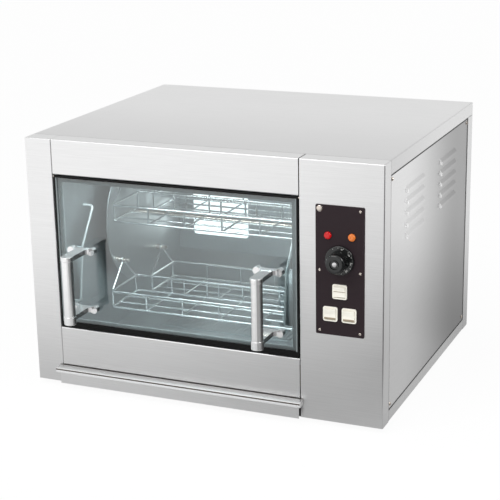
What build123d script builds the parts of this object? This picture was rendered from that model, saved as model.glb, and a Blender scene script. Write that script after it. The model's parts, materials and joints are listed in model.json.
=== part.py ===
"""Countertop electric rotisserie oven, in millimetres.

Pieces are drawn in casing coordinates: x from the left side, y from the front plane towards the
back, z from the casing's underside. PLACE then moves them to the part's own frame: front towards
-Y, +Z up, origin under the middle of the whole object, on the surface that it stands on.
"""
import os
from math import cos, radians, sin

from build123d import *

# Casing
CASE_W = 790.0
CASE_D = 660.0
CASE_H = 540.0
SHEET = 1.2
BEND_IN_R = 1.2
SEAM = 1.0
LEFT_PILLAR_W = 63.5
CONTROL_PILLAR_W = 175.5
UPPER_PANEL_H = 75.0
LOWER_PANEL_H = 86.5
TRAY_SLOT_H = 40.0
FRONT_RETURN = 38.0
JAMB_DEPTH = 12.0
TOP_FLANGE = 28.0
BASE_FLANGE = 24.0
REAR_RETURN = 40.0
PANEL_TUCK = 10.0
POST_W = 22.0
POST_T = 1.5

# Feet
FOOT_H = 10.0
FOOT_R = 17.0
FOOT_TIP_R = 13.0
FOOT_INSET = 62.0

# Side louvres and rear slots
LOUVRE_LENGTH = 120.0
LOUVRE_OUT = 5.0
LOUVRE_RISE = 8.0
LOUVRE_FALL = 5.0
LOUVRE_ROUND = 1.6
LOUVRE_PITCH = 24.0
LOUVRE_ROWS = 5
LOUVRE_DROP = 179.0
LOUVRE_GROUP_Y = (203.0, 451.0)
SLOT_W = 5.0
SLOT_H = 70.0
SLOT_PITCH = 15.0
SLOT_COUNT = 9
SLOT_DROP = 140.0

# Side screws
SCREW_R = 2.0
SCREW_HEAD_R = 4.2
SCREW_HEAD_H = 2.2
SCREW_LENGTH = 9.0
SCREW_GAP = 0.2
HEAD_ROUND_SHARE = 0.6
SIDE_SCREW_INSET = 11.0

# Cavity liner
LINER = 1.0
RING_OVERLAP = 17.5
RING_LIP = 18.0
RING_TOP = 17.0
RING_BOTTOM = 20.5
CEILING_DROP = 48.0
REAR_GAP = 100.0
FLOOR_Z = 66.0
FLOOR_FRONT_RUN = 92.0
FLOOR_REAR_RUN = 90.0
FLOOR_REAR_Z = 152.0
DRAIN_L = 300.0
DRAIN_W = 90.0
INSULATION_T = 25.0
INSULATION_Z = 62.0
INSULATION_GAP = 1.0

# Door
DOOR_GAP = 1.5
DOOR_SET_BACK = 1.0
TRIM_T = 7.5
TRIM_TOP = 5.25
TRIM_SIDE = 6.0
TRIM_BOTTOM = 12.0
GLASS_T = 5.0
GLASS_SET_BACK = 1.5
GASKET_W = 8.0
GASKET_GAP = 0.3
GASKET_ROUND_SHARE = 0.6
HINGE_PIN_R = 2.5
HINGE_PIN_L = 12.0
HINGE_BLOCK_W = 12.0
HINGE_BLOCK_H = 22.0
RUN_GAP = 0.06

# Door handles
HANDLE_INSET = 63.5
HANDLE_REACH = 80.0
BAR_R = 12.0
BAR_UNDER = 10.0
ARM_SPACING = 128.0
ARM_Z = 178.0
ARM_T = 10.0
ARM_W = 24.0
ARM_FOOT_W = 48.0
ARM_FOOT_L = 12.0
ARM_FLARE_R = 9.0
BOSS_R = 8.0
BOSS_L = 13.0
FERRULE_R = 13.0
FERRULE_H = 18.0
FERRULE_ROUND = 1.5
HANDLE_SCREW_R = 3.0
HANDLE_SCREW_HEAD_R = 6.0
HANDLE_SCREW_HEAD_H = 1.0

# Drip tray
TRAY_T = 1.0
TRAY_SIDE_GAP = 0.5
TRAY_TOP_GAP = 3.0
TRAY_REAR_GAP = 15.0
TRAY_SLIDE_GAP = 0.3
RUNNER_T = 1.5
RUNNER_W = 14.0
RUNNER_H = 30.0
APRON_PROUD = 12.0
APRON_T = 1.2
APRON_SIDE = 1.5
LIP_PROUD = 22.0
LIP_H = 12.5
LIP_SIDE = 7.0
LIP_ROUND = 5.0
LIP_GAP = 0.8
APRON_RISE = 1.0

# Rotor and baskets
ROTOR_Y = 297.0
ROTOR_TOP_GAP = 9.0
REST_ANGLE = 38.0
BASKET_FLOOR_GAP = 21.0
PIN_R = 4.0
PIN_REACH = 26.0
PIN_SHOULDER_R = 6.0
DISC_EDGE = 16.0
DISC_T = 2.0
DISC_HUB_R = 20.0
DISC_HUB_L = 9.0
DISC_WALL_GAP = 27.0
SHAFT_R = 6.0
SHAFT_KEY_GAP = 0.02
SHAFT_CLEAR = 2.0
SHAFT_END_GAP = 1.0
BASKET_COUNT = 4
BASKET_END_GAP = 12.0
BASKET_CLEAR = 8.0
BASKET_H = 36.0
BASKET_HANG = 54.0
BASKET_BAYS = 5
BASKET_LONG_WIRES = 2
BASKET_CORNER_R = 9.0
RIM_WIRE_R = 2.6
GRID_WIRE_R = 2.1
FLOOR_WIRE_R = 2.0
EYE_R = 8.0
EYE_T = 4.0

# Shaft bearings and drive
BEARING_FLANGE_R = 26.0
BEARING_FLANGE_T = 4.0
BEARING_HUB_R = 15.0
BEARING_L = 20.0
BRACKET_STANDOFF = 34.0
BRACKET_T = 2.0
BRACKET_Y = 120.0
BRACKET_Z = 140.0
BRACKET_POST_R = 5.0
BRACKET_POST_INSET = 12.0
GEARBOX_X = 52.0
GEARBOX_Y = 90.0
GEARBOX_Z = 100.0
GEARBOX_BORE_L = 30.0
GEARBOX_ROUND = 8.0
MOTOR_R = 34.0
MOTOR_L = 80.0
MOTOR_DROP = 14.0
MOTOR_CAP_R = 23.8
MOTOR_CAP_L = 10.0

# Heating elements, lamp and probe
HEATER_R = 4.0
HEATER_BEND_R = 30.0
HEATER_DROP = 14.0
HEATER_PITCH = 106.0
HEATER_RUNS = 4
HEATER_FRONT_Y = 90.0
HEATER_BACK_GAP = 45.0
HEATER_TAIL = 32.0
HEATER_NUT_R = 9.0
HEATER_NUT_T = 4.0
HEATER_BEND_MARGIN = 1.0
REAR_HEATER_GAP = 16.0
REAR_HEATER_DROPS = (90.0, 46.0)
REAR_HEATER_SPAN = 400.0
LAMP_X = 195.0
LAMP_Z = 250.0
LAMP_W = 130.0
LAMP_H = 102.0
LAMP_FRAME = 7.0
LAMP_GLASS_T = 4.0
LAMP_GLASS_ROUND = 1.0
LAMP_BOX_D = 62.0
LAMP_BULB_R = 11.0
LAMP_BULB_L = 60.0
LAMP_SOCKET_R = 14.3
PROBE_R = 3.0
PROBE_L = 120.0
PROBE_Y = 180.0
PROBE_DROP = 16.0
PROBE_CLIP_W = 8.0

# Guard rods beside the door
GUARD_R = 2.5
GUARD_IN = 23.0
GUARD_BEND_R = 7.0
GUARD_FOOT = (22.0, 184.0)
GUARD_KNEE = (40.0, 300.0)
GUARD_HEAD = (94.0, 378.0)

# Control panel
PLATE_SIDE = 35.5
PLATE_W = 100.5
PLATE_H = 265.5
PLATE_Z = 187.0
PLATE_T = 1.5
PLATE_CORNER_R = 3.0
PLATE_SCREW_R = 1.5
PLATE_SCREW_HEAD_R = 3.0
PLATE_SCREW_HEAD_H = 1.4
PLATE_SCREW_L = 6.0
PLATE_SCREW_INSET = 8.4
PILOT_OUT = 24.6
PILOT_UP = 204.5
PILOT_R = 7.5
PILOT_LENS_H = 5.0
PILOT_LENS_ROUND = 3.5
PILOT_BODY_R = 6.0
PILOT_BODY_L = 28.0
KNOB_UP = 156.0
KNOB_SKIRT_R = 30.0
KNOB_SKIRT_T = 4.0
KNOB_SKIRT_ROUND = 2.4
KNOB_GRIP_R = 21.0
KNOB_TIP_R = 19.5
KNOB_GRIP_H = 28.0
KNOB_TIP_ROUND = 5.0
KNOB_DISH_R = 10.0
KNOB_DISH_D = 3.0
KNOB_CAP_R = 8.0
KNOB_CAP_H = 2.2
KNOB_GAP = 1.0
SPINDLE_R = 3.0
SPINDLE_L = 16.0
SPINDLE_END_GAP = 1.0
THERMO_BUSH_R = 5.0
THERMO_W = 42.0
THERMO_H = 48.0
THERMO_D = 36.0
SWITCH_PLACES = ((0.0, 91.5), (-19.5, 44.0), (19.5, 44.0))
SWITCH_NAMES = ("power_rocker", "heat_rocker", "lamp_rocker")
SWITCH_W = 30.0
SWITCH_RIM_T = 3.0
SWITCH_RIM_ROUND = 1.0
SWITCH_CORNER_R = 4.0
SWITCH_BODY_W = 27.0
SWITCH_BODY_D = 26.0
SWITCH_POCKET_D = 7.0
ROCKER_W = 23.2
ROCKER_GAP = 0.4
ROCKER_HALF_T = 3.4
ROCKER_TILT = 7.0
ROCKER_DISH = 1.6
ROCKER_FOOT_GAP = 2.0
ROCKER_PIN_R = 1.5
ROCKER_PIN_L = 1.1
ROCKER_AXIS_IN = 1.0
CUT_GAP = 0.2

# Mains inlet
GLAND_REACH = 20.0
GLAND_R = 10.0
GLAND_BORE_R = 4.5
GLAND_FLANGE_R = 14.0
GLAND_FLANGE_T = 5.0
GLAND_INNER_L = 12.0
GLAND_ROUND = 2.0
GLAND_SIDE = 90.0
GLAND_Z = 70.0
TERMINAL_L = 64.0
TERMINAL_W = 26.0
TERMINAL_H = 24.0
TERMINAL_STEP = 9.0
TERMINAL_SCREW_R = 2.2
TERMINAL_SCREW_IN = 18.2
TERMINAL_WAYS = 5

# Derived places
BEND_R = SHEET + BEND_IN_R
BAY_X0 = LEFT_PILLAR_W
BAY_X1 = CASE_W - CONTROL_PILLAR_W
BAY_X = (BAY_X0 + BAY_X1) / 2
DOOR_Z0 = TRAY_SLOT_H + LOWER_PANEL_H
DOOR_Z1 = CASE_H - UPPER_PANEL_H
WALL_X0 = BAY_X0 + RING_OVERLAP
WALL_X1 = BAY_X1 - RING_OVERLAP
RING_Y = JAMB_DEPTH
CAVITY_Y0 = RING_Y + SHEET
REAR_Y = CASE_D - REAR_GAP
RING_Z0 = DOOR_Z0 + RING_BOTTOM
RING_Z1 = DOOR_Z1 - RING_TOP
CEILING_Z = CASE_H - CEILING_DROP
HINGE_Y = DOOR_SET_BACK + TRIM_T / 2
HINGE_Z = DOOR_Z1 - DOOR_GAP - TRIM_T / 2
GLASS_Y0 = DOOR_SET_BACK + GLASS_SET_BACK
GLASS_Y1 = GLASS_Y0 + GLASS_T
BAR_Y = FERRULE_R - HANDLE_REACH
SWEEP_Z0 = FLOOR_Z + BASKET_FLOOR_GAP + BASKET_H + BASKET_HANG
SWEEP_Z1 = CEILING_Z - HEATER_DROP - HEATER_R - ROTOR_TOP_GAP
PIN_CIRCLE_R = (SWEEP_Z1 - SWEEP_Z0 - DISC_EDGE) / 2
DISC_R = PIN_CIRCLE_R + DISC_EDGE
BASKET_W = PIN_CIRCLE_R - BASKET_CLEAR
ROTOR_Z = SWEEP_Z1 - DISC_R
REAR_HEATER_Z = [CEILING_Z - drop for drop in REAR_HEATER_DROPS]
LOUVRE_Z = CASE_H - LOUVRE_DROP
SLOT_Z = CASE_H - SLOT_DROP
GLAND_X = CASE_W - GLAND_SIDE
HANDLE_X = (BAY_X0 + HANDLE_INSET, BAY_X1 - HANDLE_INSET)
DISC_X0 = WALL_X0 + DISC_WALL_GAP
DISC_X1 = WALL_X1 - DISC_WALL_GAP
BASKET_X0 = DISC_X0 + BASKET_END_GAP
BASKET_X1 = DISC_X1 - BASKET_END_GAP
PLATE_X0 = BAY_X1 + PLATE_SIDE
PLATE_X = PLATE_X0 + PLATE_W / 2
BRACKET_X = WALL_X1 + LINER + BRACKET_STANDOFF
Y_FRONT = HANDLE_REACH - (CASE_D + HANDLE_REACH + GLAND_REACH) / 2
PLACE = Pos(-CASE_W / 2, Y_FRONT, FOOT_H)
FAR = 2 * (CASE_W + CASE_D + CASE_H)
OVER = 1.0
TOUCH = 1e-6


def block(x0, x1, y0, y1, z0, z1):
    """A plain box between two corners."""
    centre = Pos((x0 + x1) / 2, (y0 + y1) / 2, (z0 + z1) / 2)
    return centre * Box(x1 - x0, y1 - y0, z1 - z0)


def bar_x(x0, x1, y, z, r):
    """A round bar along X."""
    return Pos((x0 + x1) / 2, y, z) * Rot(0, 90, 0) * Cylinder(r, x1 - x0)


def bar_y(x, y0, y1, z, r):
    """A round bar along Y."""
    return Pos(x, (y0 + y1) / 2, z) * Rot(90, 0, 0) * Cylinder(r, y1 - y0)


def bar_z(x, y, z0, z1, r):
    """A round bar along Z."""
    return Pos(x, y, (z0 + z1) / 2) * Cylinder(r, z1 - z0)


def bar_between(a, b, r):
    """A round bar from point a to point b."""
    line = Line(a, b)
    return sweep(Plane(origin=a, z_dir=line % 0) * Circle(r), path=line)


def wire_along(points, bend, r, close=False):
    """A round wire along straight runs joined by tangent bends."""
    path = FilletPolyline(*points, radius=bend, close=close)
    return sweep(Plane(origin=path @ 0, z_dir=path % 0) * Circle(r), path=path)


def prism_x(points, x0, x1):
    """A (y, z) outline drawn out along X."""
    outline = make_face(Polyline(*[(x0, y, z) for y, z in points], close=True))
    return extrude(outline, amount=x1 - x0, dir=(1, 0, 0))


def several(*solids):
    """Separate solids that share one node."""
    return Compound([s for group in solids for s in group.solids()])


def folded(x0, x1, y0, y1, z0, z1, open_sides, wall=SHEET):
    """A box folded from sheet, with rounded bends, open on the named sides."""
    low = dict(x=x0, y=y0, z=z0)
    high = dict(x=x1, y=y1, z=z1)
    inner_low = dict(low)
    inner_high = dict(high)
    for axis in "xyz":
        inner_low[axis] += -FAR if axis + "0" in open_sides else wall
        inner_high[axis] += FAR if axis + "1" in open_sides else -wall

    def bent(lo, hi, r):
        shape = block(lo["x"], hi["x"], lo["y"], hi["y"], lo["z"], hi["z"])
        chosen = []
        for edge in shape.edges():
            middle = dict(x=edge.center().X, y=edge.center().Y, z=edge.center().Z)
            sides = [a + "0" for a in "xyz" if abs(middle[a] - lo[a]) < TOUCH]
            sides += [a + "1" for a in "xyz" if abs(middle[a] - hi[a]) < TOUCH]
            if not set(sides) & set(open_sides):
                chosen.append(edge)
        return fillet(chosen, r)

    return bent(low, high, BEND_IN_R + wall) - bent(inner_low, inner_high, BEND_IN_R)


def base_tongue():
    """The flat front edge of the base pan, which the pillars stand round."""
    return block(SHEET, CASE_W - SHEET, SHEET, FRONT_RETURN + SEAM, 0, SHEET)


def base_pan():
    y0 = FRONT_RETURN + SEAM
    y1 = CASE_D - REAR_RETURN - SEAM
    pan = folded(0, CASE_W, y0, y1, 0, BASE_FLANGE, ("y0", "y1", "z1"))
    tail = block(BEND_R, CASE_W - BEND_R, y1 - BEND_R, CASE_D - SHEET, 0, SHEET)
    sunk = block(SHEET, CASE_W - SHEET, y0, y0 + BEND_R, 0, SHEET)
    return pan + base_tongue() + sunk + tail


def feet():
    places = [
        (x, y)
        for x in (FOOT_INSET, CASE_W - FOOT_INSET)
        for y in (FOOT_INSET, CASE_D - FOOT_INSET)
    ]
    foot = Cone(FOOT_TIP_R, FOOT_R, FOOT_H)
    return several(*[Pos(x, y, -FOOT_H / 2) * foot for x, y in places])


def hinge_hole(x0, x1):
    return bar_x(x0, x1, HINGE_Y, HINGE_Z, HINGE_PIN_R + SCREW_GAP)


def left_pillar():
    x1 = BAY_X0 - SEAM / 2
    pillar = folded(0, x1, 0, FRONT_RETURN, 0, CASE_H, ("y1", "z0"))
    pillar -= block(x1 - BEND_R, x1 + OVER, JAMB_DEPTH, FAR, -OVER, CASE_H - SHEET)
    pillar -= block(SHEET, x1 + OVER, SHEET, FAR, -OVER, SHEET)
    return pillar - hinge_hole(x1 - BEND_R, x1 + OVER)


def control_pillar():
    x0 = BAY_X1 + SEAM / 2
    pillar = folded(x0, CASE_W, 0, FRONT_RETURN, 0, CASE_H, ("y1", "z0"))
    pillar -= block(x0 - OVER, x0 + BEND_R, JAMB_DEPTH, FAR, -OVER, CASE_H - SHEET)
    pillar -= block(x0 - OVER, CASE_W - SHEET, SHEET, FAR, -OVER, SHEET)
    return pillar - hinge_hole(x0 - OVER, x0 + BEND_R) - control_cutouts()


def upper_front_panel():
    x0 = BAY_X0 + SEAM / 2
    x1 = BAY_X1 - SEAM / 2
    panel = folded(x0, x1, 0, FRONT_RETURN, DOOR_Z1, CASE_H, ("x0", "x1", "y1"))
    return panel - block(x0 - OVER, x1 + OVER, JAMB_DEPTH, FAR, DOOR_Z1 - OVER, DOOR_Z1 + BEND_R)


def lower_front_panel():
    x0 = BAY_X0 + SEAM / 2
    x1 = BAY_X1 - SEAM / 2
    return folded(x0, x1, 0, JAMB_DEPTH, TRAY_SLOT_H, DOOR_Z0, ("x0", "x1", "y1"))


def top_cover():
    y0 = FRONT_RETURN + SEAM
    return folded(0, CASE_W, y0, CASE_D, CASE_H - TOP_FLANGE, CASE_H, ("y0", "z0"))


def side_screw_places():
    y_front = FRONT_RETURN + SIDE_SCREW_INSET
    y_rear = CASE_D - REAR_RETURN - SIDE_SCREW_INSET
    z_low = BASE_FLANGE + SIDE_SCREW_INSET
    z_high = CASE_H - TOP_FLANGE - SIDE_SCREW_INSET
    return [(y, z) for y in (y_front, y_rear) for z in (z_low, z_high)]


def louvre_outline(inset):
    """The louvre's section as (outward, up) points, drawn in by the sheet's thickness."""
    tip = LOUVRE_OUT - inset
    top = LOUVRE_RISE - inset
    foot = -LOUVRE_FALL - inset
    return [(0, top), (tip, top - LOUVRE_OUT - LOUVRE_RISE / 4), (tip, foot), (0, foot)]


def louvre(y, z, half_length, inset, outward):
    """One pressed louvre, or the hollow behind it, on a side panel's outer face."""
    face_x = CASE_W - SHEET if outward > 0 else SHEET
    points = [(face_x + outward * out, y - half_length, z + up) for out, up in louvre_outline(inset)]
    section = make_face(Polyline(*points, close=True))
    return extrude(section, amount=2 * half_length, dir=(0, 1, 0))


def side_panel(outward):
    """A side panel tucked behind the flanges round it, with two groups of louvres."""
    outer = CASE_W - SHEET if outward > 0 else SHEET
    x0, x1 = sorted((outer, outer - outward * SHEET))
    y0 = FRONT_RETURN - PANEL_TUCK
    y1 = CASE_D - REAR_RETURN + PANEL_TUCK
    z0 = BASE_FLANGE - PANEL_TUCK
    z1 = CASE_H - TOP_FLANGE + PANEL_TUCK
    panel = block(x0, x1, y0, y1, z0, z1)
    for y in LOUVRE_GROUP_Y:
        for row in range(LOUVRE_ROWS):
            z = LOUVRE_Z + row * LOUVRE_PITCH
            bump = louvre(y, z, LOUVRE_LENGTH / 2, 0, outward)
            tip = outer + outward * LOUVRE_OUT
            rims = [e for e in bump.edges() if abs(e.center().X - tip) < TOUCH]
            rims = [e for e in rims if e.center().Z > z - LOUVRE_FALL + TOUCH]
            panel += fillet(rims, LOUVRE_ROUND)
            hollow = louvre(y, z, LOUVRE_LENGTH / 2 - SHEET, SHEET, outward)
            inside = LOUVRE_RISE - 2 * SHEET
            slot = block(x0, x1, y - LOUVRE_LENGTH / 2 + SHEET, y + LOUVRE_LENGTH / 2 - SHEET,
                         z - LOUVRE_FALL - SHEET, z + inside)
            panel -= hollow + slot
    for y, z in side_screw_places():
        panel -= bar_x(x0 - OVER, x1 + OVER, y, z, SCREW_R + SCREW_GAP)
    return panel


def corner_posts():
    """Upright angles at the four corners, behind the side panels."""
    inner = 2 * SHEET
    y_front = FRONT_RETURN + SEAM
    y_rear = CASE_D - REAR_RETURN - SEAM
    posts = []
    for face, turn in ((inner, 1), (CASE_W - inner, -1)):
        for edge, way in ((y_front, 1), (y_rear, -1)):
            x0, x1 = sorted((face, face + turn * POST_W))
            y0, y1 = sorted((edge, edge + way * POST_W))
            post = block(x0, x1, y0, y1, SHEET, CASE_H - SHEET)
            cx0, cx1 = sorted((face + turn * POST_T, face + turn * (POST_W + OVER)))
            cy0, cy1 = sorted((edge + way * POST_T, edge + way * (POST_W + OVER)))
            post -= block(cx0, cx1, cy0, cy1, 0, CASE_H)
            for y, z in side_screw_places():
                post -= bar_x(x0 - OVER, x1 + OVER, y, z, SCREW_R + SCREW_GAP)
            posts.append(post)
    return several(*posts)


def side_screws():
    screws = []
    for face, out in ((SHEET, -1), (CASE_W - SHEET, 1)):
        for y, z in side_screw_places():
            h0, h1 = sorted((face, face + out * SCREW_HEAD_H))
            s0, s1 = sorted((face, face - out * SCREW_LENGTH))
            head = bar_x(h0, h1, y, z, SCREW_HEAD_R)
            rim = [e for e in head.edges() if abs(e.center().X - face - out * SCREW_HEAD_H) < TOUCH]
            screws.append(fillet(rim, SCREW_HEAD_H * HEAD_ROUND_SHARE) + bar_x(s0, s1, y, z, SCREW_R))
    return several(*screws)


def rear_panel():
    z1 = CASE_H - TOP_FLANGE - SEAM
    y0 = CASE_D - REAR_RETURN
    panel = folded(0, CASE_W, y0, CASE_D, 0, z1, ("y0", "z0", "z1"))
    first = GLAND_X - SLOT_PITCH * (SLOT_COUNT - 1) / 2
    for i in range(SLOT_COUNT):
        slot = SlotOverall(SLOT_H, SLOT_W)
        place = Pos(first + i * SLOT_PITCH, CASE_D, SLOT_Z) * Rot(90, 0, 0) * Rot(0, 0, 90)
        panel -= extrude(place * slot, amount=REAR_RETURN / 2, both=True)
    return panel - bar_y(GLAND_X, y0, FAR, GLAND_Z, GLAND_R + SCREW_GAP)


def cavity_side_wall(x0):
    wall = block(x0, x0 + LINER, CAVITY_Y0, REAR_Y + LINER, SHEET, CEILING_Z)
    return wall - bar_x(x0 - OVER, x0 + LINER + OVER, ROTOR_Y, ROTOR_Z, SHAFT_R + SHAFT_CLEAR)


def cavity_ceiling():
    return block(WALL_X0 - LINER, WALL_X1 + LINER, CAVITY_Y0, REAR_Y + LINER,
                 CEILING_Z, CEILING_Z + LINER)


def lamp_opening(grow, y0, y1):
    half_w = LAMP_W / 2 + grow
    half_h = LAMP_H / 2 + grow
    return block(LAMP_X - half_w, LAMP_X + half_w, y0, y1, LAMP_Z - half_h, LAMP_Z + half_h)


def cavity_rear_wall():
    wall = block(WALL_X0, WALL_X1, REAR_Y, REAR_Y + LINER, SHEET, CEILING_Z)
    wall -= lamp_opening(0, REAR_Y - OVER, REAR_Y + LINER + OVER)
    for x, z in heater_ends():
        wall -= bar_y(x, REAR_Y - OVER, REAR_Y + LINER + OVER, z, HEATER_R + SCREW_GAP)
    return wall


def cavity_floor():
    """A floor that falls from the door and from the rear wall to a flat with a drain opening."""
    top = [
        (CAVITY_Y0, RING_Z0),
        (CAVITY_Y0 + FLOOR_FRONT_RUN, FLOOR_Z),
        (REAR_Y - FLOOR_REAR_RUN, FLOOR_Z),
        (REAR_Y, FLOOR_REAR_Z),
    ]
    under = [(y, z - SHEET) for y, z in reversed(top)]
    floor = prism_x(top + under, WALL_X0, WALL_X1)
    return floor - block(BAY_X - DRAIN_L / 2, BAY_X + DRAIN_L / 2, ROTOR_Y - DRAIN_W / 2,
                         ROTOR_Y + DRAIN_W / 2, FLOOR_Z - SHEET - OVER, FLOOR_Z + OVER)


def cavity_front_frame():
    """The flat ring behind the door's edge that the gasket lies on."""
    plate = block(BAY_X0 - RING_LIP, BAY_X1 + RING_LIP, RING_Y, CAVITY_Y0,
                  DOOR_Z0 - RING_LIP, CEILING_Z + LINER)
    return plate - block(WALL_X0, WALL_X1, RING_Y - OVER, CAVITY_Y0 + OVER, RING_Z0, RING_Z1)


def door_gasket():
    y0 = DOOR_SET_BACK + TRIM_T + GASKET_GAP
    x0 = WALL_X0 - GASKET_W
    x1 = WALL_X1 + GASKET_W
    seal = block(x0, x1, y0, RING_Y, RING_Z0 - GASKET_W, RING_Z1 + GASKET_W)
    seal -= block(WALL_X0, WALL_X1, y0 - OVER, RING_Y + OVER, RING_Z0, RING_Z1)
    rounds = [e for e in seal.edges() if abs(e.center().Y - y0) < TOUCH]
    return fillet(rounds, (RING_Y - y0) * GASKET_ROUND_SHARE)


def door_hinge_blocks():
    """Two bearing blocks behind the pillars that carry the door's pivot pins."""
    blocks = []
    left_jamb = BAY_X0 - SEAM / 2 - SHEET
    right_jamb = BAY_X1 + SEAM / 2 + SHEET
    for x0, jamb in ((left_jamb - HINGE_BLOCK_W, left_jamb), (right_jamb, right_jamb)):
        x1 = x0 + HINGE_BLOCK_W
        body = block(x0, x1, SHEET, RING_Y, HINGE_Z - HINGE_BLOCK_H / 2, HINGE_Z + HINGE_BLOCK_H / 2)
        upright = [e for e in body.edges().filter_by(Axis.Z) if abs(e.center().X - jamb) < TOUCH]
        bend_side = [e for e in upright if abs(e.center().Y - SHEET) < TOUCH]
        body = fillet(bend_side, BEND_R)
        blocks.append(body - bar_x(x0 - OVER, x1 + OVER, HINGE_Y, HINGE_Z, HINGE_PIN_R + RUN_GAP))
    return several(*blocks)


def insulation():
    """Mineral wool slabs round the liner, cut round what passes through them."""
    z1 = CEILING_Z + LINER + INSULATION_T
    out_l = WALL_X0 - LINER
    out_r = WALL_X1 + LINER
    back = REAR_Y + LINER
    y0 = CAVITY_Y0
    left = block(out_l - INSULATION_T, out_l, y0, back, INSULATION_Z, CEILING_Z)
    right = block(out_r, out_r + INSULATION_T, y0, back, INSULATION_Z, CEILING_Z)
    top = block(out_l, out_r, y0, back, CEILING_Z + LINER, z1)
    rear = block(out_l, out_r, back, back + INSULATION_T, INSULATION_Z, CEILING_Z)
    for slab_x0 in (out_l - INSULATION_T, out_r):
        hole = bar_x(slab_x0 - OVER, slab_x0 + INSULATION_T + OVER, ROTOR_Y, ROTOR_Z,
                     BEARING_FLANGE_R + INSULATION_GAP)
        left -= hole
        right -= hole
    for y, z in bracket_post_places():
        right -= bar_x(out_r - OVER, out_r + INSULATION_T + OVER, y, z, BRACKET_POST_R + INSULATION_GAP)
    rear -= lamp_opening(LAMP_FRAME + INSULATION_GAP, back - OVER, back + INSULATION_T + OVER)
    for x, z in heater_ends():
        rear -= bar_y(x, back - OVER, back + INSULATION_T + OVER, z, HEATER_R + INSULATION_GAP)
    return several(left, right, top, rear)


def shaft_bearing(face_x, out):
    """A flanged bush on the outer face of a cavity wall."""
    f0, f1 = sorted((face_x, face_x + out * BEARING_FLANGE_T))
    h0, h1 = sorted((face_x, face_x + out * BEARING_L))
    bush = bar_x(f0, f1, ROTOR_Y, ROTOR_Z, BEARING_FLANGE_R)
    bush += bar_x(h0, h1, ROTOR_Y, ROTOR_Z, BEARING_HUB_R)
    return bush - bar_x(h0 - OVER, h1 + OVER, ROTOR_Y, ROTOR_Z, SHAFT_R + RUN_GAP)


def bracket_post_places():
    half_y = BRACKET_Y / 2 - BRACKET_POST_INSET
    half_z = BRACKET_Z / 2 - BRACKET_POST_INSET
    return [(ROTOR_Y + i * half_y, ROTOR_Z + j * half_z) for i in (-1, 1) for j in (-1, 1)]


def motor_bracket():
    """A plate held off the cavity wall by four posts."""
    bracket = block(BRACKET_X, BRACKET_X + BRACKET_T, ROTOR_Y - BRACKET_Y / 2, ROTOR_Y + BRACKET_Y / 2,
                    ROTOR_Z - BRACKET_Z / 2, ROTOR_Z + BRACKET_Z / 2)
    hole_r = SHAFT_R + SHAFT_CLEAR
    bracket -= bar_x(BRACKET_X - OVER, BRACKET_X + BRACKET_T + OVER, ROTOR_Y, ROTOR_Z, hole_r)
    for y, z in bracket_post_places():
        bracket += bar_x(WALL_X1 + LINER, BRACKET_X, y, z, BRACKET_POST_R)
    return bracket


def gear_motor():
    """A hollow-shaft gearbox with its motor lying behind it."""
    x0 = BRACKET_X + BRACKET_T
    box = block(x0, x0 + GEARBOX_X, ROTOR_Y - GEARBOX_Y / 2, ROTOR_Y + GEARBOX_Y / 2,
                ROTOR_Z - GEARBOX_Z / 2, ROTOR_Z + GEARBOX_Z / 2)
    box = fillet(box.edges().filter_by(Axis.X), GEARBOX_ROUND)
    box -= bar_x(x0 - OVER, x0 + GEARBOX_BORE_L, ROTOR_Y, ROTOR_Z, SHAFT_R + RUN_GAP)
    motor_y = ROTOR_Y + GEARBOX_Y / 2
    motor_z = ROTOR_Z - MOTOR_DROP
    motor_x = x0 + MOTOR_R
    can = bar_y(motor_x, motor_y, motor_y + MOTOR_L, motor_z, MOTOR_R)
    cap = bar_y(motor_x, motor_y + MOTOR_L, motor_y + MOTOR_L + MOTOR_CAP_L, motor_z, MOTOR_CAP_R)
    return box + can + cap


def heater_ends():
    """Where the two heating elements pass through the rear wall, as (x, z)."""
    half = HEATER_PITCH * (HEATER_RUNS - 1) / 2
    upper = [(BAY_X - half, CEILING_Z - HEATER_DROP), (BAY_X + half, CEILING_Z - HEATER_DROP)]
    return upper + [(BAY_X - REAR_HEATER_SPAN / 2, z) for z in REAR_HEATER_Z]


def heater_nut(x, z):
    """The fixing nut that seats an element's end on the rear wall."""
    return bar_y(x, REAR_Y - HEATER_NUT_T, REAR_Y, z, HEATER_NUT_R)


def upper_heater():
    """A tubular element in four runs under the ceiling, its ends through the rear wall."""
    z = CEILING_Z - HEATER_DROP
    x = BAY_X - HEATER_PITCH * (HEATER_RUNS - 1) / 2
    tail = REAR_Y + HEATER_TAIL
    points = [(x, tail, z)]
    for run in range(HEATER_RUNS - 1):
        y = HEATER_FRONT_Y if run % 2 == 0 else REAR_Y - HEATER_BACK_GAP
        points.append((x + run * HEATER_PITCH, y, z))
        points.append((x + (run + 1) * HEATER_PITCH, y, z))
    points.append((x + (HEATER_RUNS - 1) * HEATER_PITCH, tail, z))
    element = wire_along(points, HEATER_BEND_R, HEATER_R)
    for end_x, end_z in heater_ends()[:2]:
        element += heater_nut(end_x, end_z)
    return element


def rear_heater():
    """A hairpin element along the rear wall."""
    x0 = BAY_X - REAR_HEATER_SPAN / 2
    x1 = BAY_X + REAR_HEATER_SPAN / 2
    y = REAR_Y - REAR_HEATER_GAP
    low, high = REAR_HEATER_Z
    bend = min(REAR_HEATER_GAP - HEATER_R, (high - low) / 2) - HEATER_BEND_MARGIN
    tail = REAR_Y + HEATER_TAIL
    points = [(x0, tail, low), (x0, y, low), (x1, y, low)]
    points += [(x, at_y, high) for x, at_y, _ in reversed(points)]
    element = wire_along(points, bend, HEATER_R)
    for end_x, end_z in heater_ends()[2:]:
        element += heater_nut(end_x, end_z)
    return element


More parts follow.
